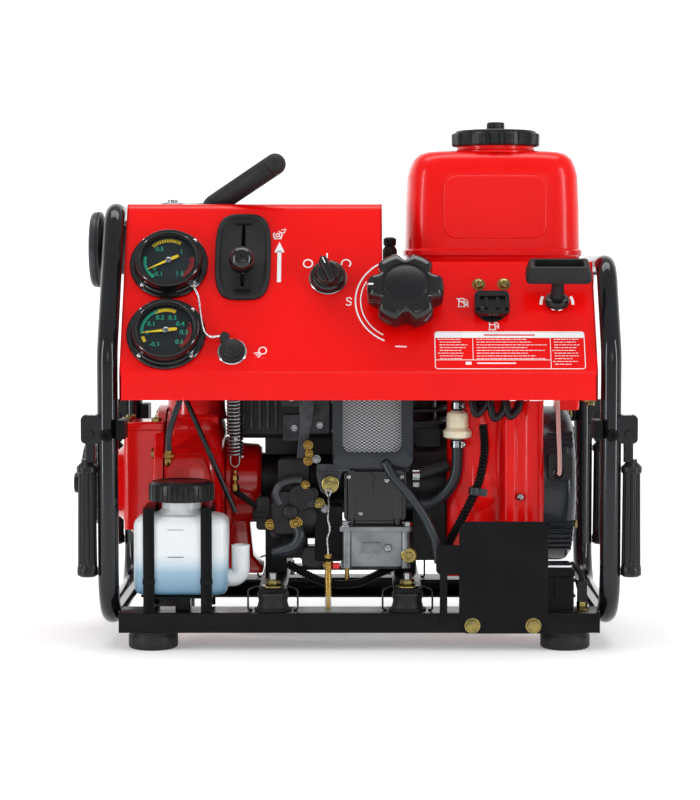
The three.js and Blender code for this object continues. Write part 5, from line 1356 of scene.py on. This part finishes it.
# vacuum pump
pumpBody = together(moved(turned([(0, -96.6), (22, -96.6), (25, -95), (27, -92), (27, -48), (25, -44),
    (20, -42.4), (0, -42.4)], 56), alongX, (0, 84, 137)), moved(slab(rounded(-88, 155, -54, 198, 4), 0,
    34), towardFront, (0, 104, 0)), moved(slab(rounded(-92, 118, -60, 164, 5), 0, 8), towardFront,
    (0, 64, 0)), moved(slab(rounded(-84, 88, -56, 128, 5), 0, 20), towardFront, (0, 106, 0)),
    moved(turned([(0, 0), (13, 0), (14, 2), (14, 8), (0, 8)], 40), towardFront, (-62, 60, 158)),
    moved(turned([(0, 0), (8, 0), (8, 10), (5, 12), (0, 12)], 32), towardFront, (-74, 60, 142)),
    moved(turned([(0, 0), (6.6, 0), (6.6, 5), (0, 5)], 28), towardFront, (-50, 60, 162)),
    moved(slab(rounded(-112, 120, -96, 156, 4), 0, 16), towardFront, (0, 92, 0)),
    moved(turned([(0, -116), (8, -116), (9, -114), (9, -96), (0, -96)], 32), alongX, (0, 84, 137)))
piece("vacuumPumpBody", pumpBody, "darkCasting", instead="vacuum_pump", bevel=1.1)
hornArm = smooth([(-86, 58, 150), (-90, 57, 162), (-84, 57, 172), (-72, 57, 176), (-62, 58, 176)], 8)
piece("vacuumArm", swept(hornArm, 4.4, 20), "greyCasting", soft=60)
plateArm = moved(slab([(-70, 176), (-64, 176), (-50, 240), (-48, 268), (-66, 268), (-64, 240)], 0, 2.6),
    towardFront, (0, 78, 0))
piece("vacuumLink", plateArm, "greyCasting", bevel=0.8)
pullRod = together(swept([(springX, springY, 160), (-104, 84, 140)], 3.6, 16))
piece("vacuumRodArm", pullRod, "darkCasting")
for k, (x, y, z, r, finish) in enumerate((
        (-55, 62, 214, 4.6, "brass"), (-54, 62, 205, 4, "brass"), (-55, 62, 197, 4.6, "brass"),
        (-46, 60, 199, 4, "steel"), (-58, 57, 171, 4.4, "brass"), (-43, 60, 151, 5.2, "zincGold"),
        (-37, 60, 145, 4.2, "steel"), (-68, 56, 130, 6, "brass"), (-96, 60, 128, 5, "brass"),
        (-52, 56, 152, 4.6, "greyCasting"))):
    piece(f"vacuumFitting_{k + 1}", moved(together(turned([(0, 0), (r * 1.15, 0), (r * 1.15, 2), (0, 2)],
        24), moved(nut(r, 5.5), (0, 0, 1.8)), turned([(0, 7), (r * 0.5, 7), (r * 0.4, 9.5), (0, 9.6)],
        20)), towardFront, (x, y, z)), finish, bevel=0.25)
bypass = smooth([(-66, 54, 124), (-64, 50, 116), (-70, 50, 106), (-82, 52, 101), (-92, 56, 98)], 8)
piece("bypassHose", swept(bypass, 6.2, 24), "hoseRubber", soft=60)
piece("drainElbow", moved(slab(rounded(-62, 80, -38, 104, 7), 0, 26), towardFront, (0, 88, 0)),
    "blackPlastic", bevel=2.5, segments=3)
adjuster = together(moved(nut(5.6, 9), (-33, 22, 84)), moved(turned([(0, 0), (3.4, 0), (3.4, 30),
    (2.2, 32), (0, 32)], 24), (-33, 22, 56)), moved(nut(4.4, 5), (-33, 22, 96)),
    moved(turned([(0, 0), (2.4, 0), (2.4, 18), (0, 18)], 20), (-33, 22, 41)))
piece("cableAdjuster", adjuster, "brass", bevel=0.25)
piece("adjusterLock", moved(turned([(0, 0), (3.4, 0), (3.4, 7), (0, 7)], 20), alongX, (-28, 22, 88)),
    "redCable")
piece("adjusterFork", together(box(-36.4, 20, 40.8, -34.6, 24, 56), box(-31.4, 20, 40.8, -29.6, 24, 56)),
    "steel", bevel=0.4)
linkWire = smooth([(-33, 24, 100), (-34, 28, 116), (-31.4, 32, 126), (-33.6, 36, 138), (-32.6, 42, 148),
    (-33, 50, 160)], 8)
piece("controlWire", swept(linkWire, 1.0, 10), "steel", soft=80)
piece("wireEye", together(swept(bent([(-33, 50, 158), (-36, 51, 164), (-33, 53, 171), (-30, 51, 164),
    (-33, 50, 158)], [2, 2, 2], 4), 0.9, 8)), "steel", soft=80)
print("vacuum pump")

# fan shroud, recoil starter
shroud = onAxis(turned([(40, 121.7), (84, 121.7), (88, 123), (90, 126), (90, 150), (88.6, 152),
    (88.6, 158), (90, 160), (90, 172), (88.8, 174), (88.8, 180), (90, 182), (90, 200.7), (87.5, 200.7),
    (87.5, 124.4), (40, 124.4), (40, 121.7)], 112))
shelfParts = together(box(90, 120, 380.7, 238, 243, 383.7), box(132, 126, 246, 135, 194, 381),
    box(186, 126, 246, 189, 194, 381), box(128, 150, 54, 188, 170, 76))
piece("fanShroud", shroud, "redPaint", instead="fan_shroud", soft=35)
piece("tankBracket", shelfParts, "redPaint", bevel=0.8)
foldLine = [(96, 96), (100, 84), (128, 74), (150, 70), (158, 60), (166, 58.5), (172, 61), (178, 60),
    (184, 57), (192, 57.6), (198, 62), (199.6, 68)]


def wallSheet(line, z0, z1, thick):
    n = len(line)
    points, back = [], []
    for i, (x, y) in enumerate(line):
        a = Vector(line[max(0, i - 1)])
        b = Vector(line[min(n - 1, i + 1)])
        d = (b - a).normalized()
        back.append((x - d.y * thick, y + d.x * thick))
    return slabStrip(line, back, z0, z1)


def slabStrip(front, back, z0, z1):
    n = len(front)
    ring = front + back[::-1]
    m = len(ring)
    points = [(x, y, z) for z in (z0, z1) for x, y in ring]
    faces = []
    for i in range(n - 1):
        j = m - 1 - i
        faces += [(i, j, j - 1, i + 1), (m + i, m + i + 1, m + j - 1, m + j)]
    faces += [(i, (i + 1) % m, (i + 1) % m + m, i + m) for i in range(m)]
    return points, faces


foldSmooth = [(p.x, p.y) for p in smooth([(x, y, 0) for x, y in foldLine], 6)]
piece("shroudFront", wallSheet(foldSmooth, 88, 262, 1.6), "redPaint", soft=60)
piece("shroudScrew", moved(screwHead(4, 3), towardFront, (174, 59, 158)), "steel")

recoilCup = onAxis(turned([(84, 201), (86.5, 201), (86.5, 226), (84.5, 231), (78, 235.6), (70, 237.5),
    (58, 238.2), (30, 239), (0, 239.4), (0, 236), (60, 235.4), (76, 233), (82, 229), (84, 224),
    (84, 201)], 128))
piece("recoilCover", recoilCup, "greyPaint", instead="recoil_housing", soft=40)
piece("recoilLouvres", together(*[moved(box(206, -88.2, -1.7, 234, -70, 1.7), turn(a, "X"),
    (0, axisY, axisZ)) for a in (26, 31, 36, 41, 46, 51)]), "greyPaint", bevel=0.6)
piece("recoilRibs", together(*[moved(box(206, -88.2, -1.7, 234, -70, 1.7), turn(a, "X"), (0, axisY, axisZ))
    for a in (-34, -39, -44)]), "greyPaint", bevel=0.6)
piece("ropeGuide", together(moved(holed(rounded(-13, -14, 13, 14, 4), (-2, -7), 3.8, 0, 13), towardFront,
    (218, 77, 190)), moved(turned([(3.4, 0), (7, 0), (7, 3), (5, 4.4), (3.4, 3), (3.4, 0)], 32),
    towardFront, (216, 64, 183))), "blackPlastic", bevel=0.5)
faceX = 238.4
vanes = [moved(box(faceX - 0.6, 26, -2.4, faceX + 1.6, 66, 2.4), turn(15 * k, "X"), (0, axisY, axisZ))
    for k in range(24)]
piece("recoilFaceVanes", together(*vanes), "greyPaint", bevel=0.7)
facePlate = onAxis(turned([(0, faceX), (20, faceX), (22, faceX + 0.6), (20, faceX + 2), (8, faceX + 2.6),
    (0, faceX + 2.6)], 64))
piece("recoilFacePlate", facePlate, "blackSatin", soft=40)
for k in range(3):
    a = math.radians(120 * k + 90)
    piece(f"recoilBolt_{k + 1}", moved(nut(4.6, 3.4), alongX, (235.6, axisY + 78 * math.cos(a),
        axisZ + 78 * math.sin(a))), "zincGold", bevel=0.25)

guard = {"x": (2, 98), "z": (216, 301), "y": 300.4}
guardBars = [moved(slab(rounded(guard["x"][0] + 6, z, guard["x"][1] - 6, z + 4, 2), 0, 3), towardFront,
    (0, guard["y"] + 2.4, 0)) for z in range(guard["z"][0] + 10, guard["z"][1] - 10, 9)]
guardSides = [moved(slab(rounded(x, guard["z"][0], x + 7, guard["z"][1], 3), 0, 3.4), towardFront,
    (0, guard["y"] + 2.8, 0)) for x in (guard["x"][0], guard["x"][1] - 7)]
piece("mufflerShield", together(*guardBars, *guardSides), "greyCasting", bevel=0.6)
sideFins = [box(-10.4, 222 + 11 * k, 216, -7.6, 226 + 11 * k, 300) for k in range(6)]
piece("mufflerSideRibs", together(*sideFins), "darkCasting", bevel=0.8)
for k, (x, z) in enumerate(((9, 222), (91, 222), (9, 295), (91, 295))):
    piece(f"mufflerBolt_{k + 1}", moved(nut(4.2, 3.6), alongY, (x, guard["y"] + 2.2, z)), "zincGold",
        bevel=0.25)
coverPlate = moved(slab(rounded(14, 128, 104, 200, 16, 8), 0, 8), towardFront, (0, 225, 0))
piece("crankcaseCover", coverPlate, "greyCasting", bevel=1.6)
for k, (x, z) in enumerate(((22, 136), (59, 132), (96, 136), (96, 192), (59, 196), (22, 192))):
    piece(f"crankcaseBolt_{k + 1}", moved(nut(4.4, 4), alongY, (x, 225, z)), "steel", bevel=0.3)
piece("oilPlug", moved(stack([(ribbedOutline(11, 1, 10), 0), (ribbedOutline(11, 1, 10), 10),
    (ribbedOutline(9.6, 0.8, 10), 12)]), alongY, (59, 225, 164)), "blackPlastic", soft=35)
crankRibs = [moved(turned([(58, x), (61.6, x), (61.6, x + 3), (58, x + 3), (58, x)], 72), alongX,
    (0, axisY, axisZ)) for x in (14, 60, 104)]
piece("crankcaseRibs", together(*crankRibs), "darkCasting", soft=40)

# behind the panel
backs = [moved(turned([(0, -26), (11, -26), (12, -24), (12, -3), (6.6, -3), (6.6, -21.4), (0, -21.4)],
    40), (x, y, 0)) for x, y in ((-33.4, 112), (141, 76))]
piece("switchBacks", together(*backs, moved(turned([(0, -24), (8, -24), (8, -15.4), (0, -15.4)], 32),
    (-134.3, 22.6, 0))), "blackPlastic", where=slope, soft=40)
for k, (x, y) in enumerate(((49, 84), (-33.4, 112), (141, 76))):
    piece(f"spindleNut_{k + 1}", moved(nut(11.5, 5), turn(180, "X"), (x, y, -2.6 if k == 0 else -25)),
        "zincGold", "throttle_body" if k == 0 else "frame", slope, bevel=0.4)
loomPath = smooth([(-178, 86, -30), (-150, 66, -20), (-100, 52, -14), (-40, 56, -13), (20, 48, -13),
    (84, 40, -13), (128, 34, -12), (150, 14, -14)], 30)
piece("panelLoom", swept(loomPath, [5 if k % 3 else 4 for k in range(len(loomPath))], 16), "blackSatin",
    where=slope, soft=25)
for k, (x, y, z) in enumerate(((-33.4, 108, -26), (-134.3, 26, -24), (141, 72, -26))):
    drop = smooth([(x, y, z), (x + 3, y - 10, z - 3), (x + 8, (y + 50) / 2, -22), (x + 12, 50, -16)], 8)
    piece(f"panelLead_{k + 1}", swept(drop, 1.8, 12), "redCable" if k == 2 else "blackPlastic",
        where=slope, soft=60)
for k, dial in enumerate(dials.values()):
    back = together(turned([(0, -34), (7, -34), (7, -27.6), (0, -27.6)], 24),
        moved(box(-24, -3, -31, 24, 3, -28.4), turn(30, "Z")), moved(nut(5.4, 5), (0, 0, -38)))
    piece(f"gaugeClamp_{k + 1}", moved(back, (gauge["x"], dial["s"], 0)), "zincGold", where=slope,
        bevel=0.5)
print("fan shroud and starter")

# fuel filter, hoses and cables
filterAt = machine @ Matrix.Translation((106.8, 76, 0))
piece("fuelFilter", turned([(0, 196), (3.6, 196), (3.6, 219), (10.6, 220), (15, 221.6), (15.6, 224),
    (15.6, 228), (13.6, 230), (12, 232), (12, 244), (11, 247.6), (7, 250), (4, 251), (4, 262), (0, 262)],
    56), "creamPlastic", where=filterAt, instead="fuel_filter", soft=30)
hosePath = smooth([(106.8, 76, 219), (106.8, 76, 200), (106, 76, 186), (102, 76, 172), (92, 77, 158),
    (80, 78, 150), (66, 78, 148), (51, 78, 148)], 9)
piece("fuelHose", swept(hosePath, 6.2, 28), "hoseRubber", instead="fuel_hose", soft=60)
for k, (z, r) in enumerate(((214, 7.4), (256, 6.8))):
    clamp = together(turned([(r - 0.8, -3.4), (r, -3.4), (r, 3.4), (r - 0.8, 3.4), (r - 0.8, -3.4)], 40),
        box(r - 1, -3, -3, r + 5, 3, 3), moved(screwHead(2.4, 2), alongX, (r + 5, 0, 0)))
    piece(f"hoseClamp_{k + 1}", moved(clamp, turn(-60, "Z"), (106.8, 76, z)), "steel", bevel=0.3)
piece("fuelTop", moved(swept([(106.8, 76, 250), (106.8, 76, 268), (107, 80, 292)], 5.6, 24), (0, 0, 0)),
    "hoseRubber", soft=60)
crossHose = smooth([(97, 84, 190), (84, 82, 186), (70, 80, 182), (58, 78, 178)], 8)
piece("crossHose", swept(crossHose, 6.6, 28), "rubber", soft=60)
piece("crossClamp", moved(together(turned([(7, -4), (7.8, -4), (7.8, 4), (7, 4), (7, -4)], 40),
    box(6, -3, -3.4, 12, 3, 3.4)), alongX, (62, 79, 179)), "steel", bevel=0.3)
frontHose = smooth([(28, 47, 196), (36, 42, 182), (52, 38, 164), (68, 34, 142), (80, 30, 118),
    (84, 28, 100), (85, 27, 90)], 9)
piece("breatherHose", swept(frontHose, 4.8, 28), "hoseRubber", soft=60)
conduitLine = smooth([(131, 62, 262), (134, 58, 232), (135, 55, 206), (128, 52, 172), (112, 50, 138),
    (98, 47, 112), (92, 45, 94)], 26)
cableRun = conduitLine[:26]
ringed = conduitLine[22:]
rings = [4.9 if k % 3 else 3.8 for k in range(len(ringed))]
piece("wiringConduit", swept(ringed, rings, 24), "blackSatin", instead="wiring_conduit", soft=25)
piece("redLead", swept(cableRun, 3.2, 20), "redCable", soft=60)
piece("redLeadBoot", swept(conduitLine[:9], [5.6, 6.2, 6.4, 6.2, 5.6, 5, 4.6, 4.2, 3.8], 24),
    "blackSatin", soft=60)
piece("conduitClip", moved(together(turned([(5, -4), (6, -4), (6, 4), (5, 4), (5, -4)], 36),
    box(5, -2.6, -4, 14, -1, 4)), turn(8, "Y"), (124, 51.4, 165)), "greyCasting", bevel=0.3)
for k, (x, z, w) in enumerate(((124, 254, 9), (143, 250, 11), (160, 252, 10))):
    loop = smooth([(x, 60, 276), (x - w * 0.2, 56, 262), (x + w * 0.2, 54, z - 6), (x + w, 55, z),
        (x + w * 1.3, 57, 262), (x + w * 1.2, 60, 276)], 8)
    piece(f"loomLoop_{k + 1}", swept(loop, 4.2, 20), "blackPlastic", soft=60)
lowLoom = [4.6 if k % 3 else 3.6 for k in range(161)]
lowPath = smooth([(-78, 70, 84), (-40, 62, 66), (-6, 56, 64), (24, 58, 76), (46, 66, 86)], 40)
piece("lowConduit", swept(lowPath, lowLoom[:len(lowPath)], 20), "blackSatin", soft=25)

# vacuum line and rod behind the oil tank
lineHose = smooth([(-207, 78, 206), (-206, 74, 226), (-200, 72, 246), (-194, 74, 266), (-197, 80, 300),
    (-203, 92, 350), (-204.5, 97, 388)], 8)
piece("vacuumLine", swept(lineHose, 3.4, 20), "hoseRubber", soft=60)
elbow = together(swept(bent([(-207, 78, 206), (-208, 78, 192), (-208, 90, 184)], [6], 6), 4, 20),
    moved(nut(5.6, 6), (-207, 78, 198)))
piece("brassElbow", elbow, "brass", soft=50)
strut = [(-190, 74, 268), (-142, 70, 158), (-134, 70, 140)]
piece("throttleRod", swept(strut, 2.9, 20), "blackPaint", soft=60)
piece("hoseBracket", together(box(-199, 77.6, 262, -181, 80, 274), box(-191, 80, 264, -187, 121, 272),
    moved(turned([(3.5, 0), (5.4, 0), (5.4, 8), (3.5, 8), (3.5, 0)], 28), (-194, 74, 262))),
    "blackSatin", bevel=0.4)

# right rear fittings
piece("redBlock", stack([(rounded(214, 84, 240, 120, 4), 250), (rounded(214, 84, 240, 120, 4), 272)]),
    "redPaint", bevel=2)
piece("goldBracket", together(box(240, 30, 262, 252, 60, 265), moved(nut(5, 4), (247, 40, 258))),
    "zincGold", bevel=0.4)
knobAt = (34.5, 150, 411)
piece("tankTap", moved(turned([(0, 0), (6, 0), (8, 4), (8, 14), (5.6, 18), (7.2, 20), (7.2, 26), (4, 28),
    (0, 28)], 36), knobAt), "rubber", soft=40)
piece("tapBody", together(moved(turned([(0, 0), (5, 0), (5, 70), (0, 70)], 24), (34.5, 150, 342)),
    box(30, 140, 396, 58, 160, 410)), "darkCasting", bevel=0.6)
piece("plugCap", together(moved(turned([(0, 0), (9, 0), (10, 4), (8, 18), (6, 24), (0, 24)], 32),
    (50, 160, 326)), swept(smooth([(50, 160, 346), (54, 150, 352), (70, 130, 346), (90, 118, 320),
    (104, 112, 290)], 8), 3.4, 18)), "rubber", soft=50)
print("hoses and cables")

# floor and light
stageValues = {"key": 24, "fill": 6, "strip": 13, "world": 0.5, "nearGlow": 0.2, "farGlow": 0.5,
    "reach": 30}
floorPaint = Paint("paleFloor")
depth = floorPaint.node("ShaderNodeSeparateXYZ", {}, {0: floorPaint.place()}, 1)
floorFinish = floorPaint.surface(colour=floorPaint.between(floorPaint.noise(2, 2), (0.93, 0.93, 0.93),
    (0.90, 0.90, 0.90)), rough=0.8, shine=0.1, glowColour=floorPaint.between(floorPaint.squeeze(depth,
    0.3, 2.2), (stageValues["nearGlow"],) * 3, (stageValues["farGlow"],) * 3), glow=1)
sweep = [(-stageValues["reach"], 0), (2.6, 0)]
sweep += [(2.6 + 1.2 * math.sin(math.radians(a)), 1.2 - 1.2 * math.cos(math.radians(a)))
    for a in range(9, 91, 9)]
sweep += [(3.8, 4)]
floorMesh = bpy.data.meshes.new("floor")
floorMesh.from_pydata([(x, y, z) for y, z in sweep for x in (-stageValues["reach"],
    stageValues["reach"])], [], [(2 * i, 2 * i + 1, 2 * i + 3, 2 * i + 2)
    for i in range(len(sweep) - 1)])
floorMesh.shade_smooth()
floorMesh.materials.append(floorFinish)
floor = bpy.data.objects.new("floor", floorMesh)
bpy.context.scene.collection.objects.link(floor)


def softbox(name, place, target, width, height, power, tint=(1, 1, 1)):
    data = bpy.data.lights.new(name, "AREA")
    data.shape = "RECTANGLE"
    data.size, data.size_y = width, height
    data.energy = power
    data.color = tint
    made = bpy.data.objects.new(name, data)
    made.location = place
    made.rotation_euler = (Vector(target) - Vector(place)).to_track_quat("-Z", "Y").to_euler()
    bpy.context.scene.collection.objects.link(made)
    return made


softbox("overhead", (0, 0.15, 2.3), (0, 0.05, 0.3), 2.2, 0.9, stageValues["key"])
softbox("leftStrip", (-1.5, -1.0, 0.7), (0, 0, 0.3), 0.2, 1.6, stageValues["strip"], (0.92, 0.96, 1))
softbox("rightStrip", (1.5, -1.0, 0.7), (0, 0, 0.3), 0.2, 1.6, stageValues["strip"], (0.92, 0.96, 1))
softbox("front", (0.5, -3.4, 1.2), (0, 0, 0.3), 1.6, 1.0, stageValues["fill"])
world = bpy.data.worlds.new("world")
world.use_nodes = True
world.node_tree.nodes["Background"].inputs["Color"].default_value = (1, 1, 1, 1)
world.node_tree.nodes["Background"].inputs["Strength"].default_value = stageValues["world"]
bpy.context.scene.world = world
bpy.context.scene.view_settings.view_transform = "Standard"
print("stage lit")
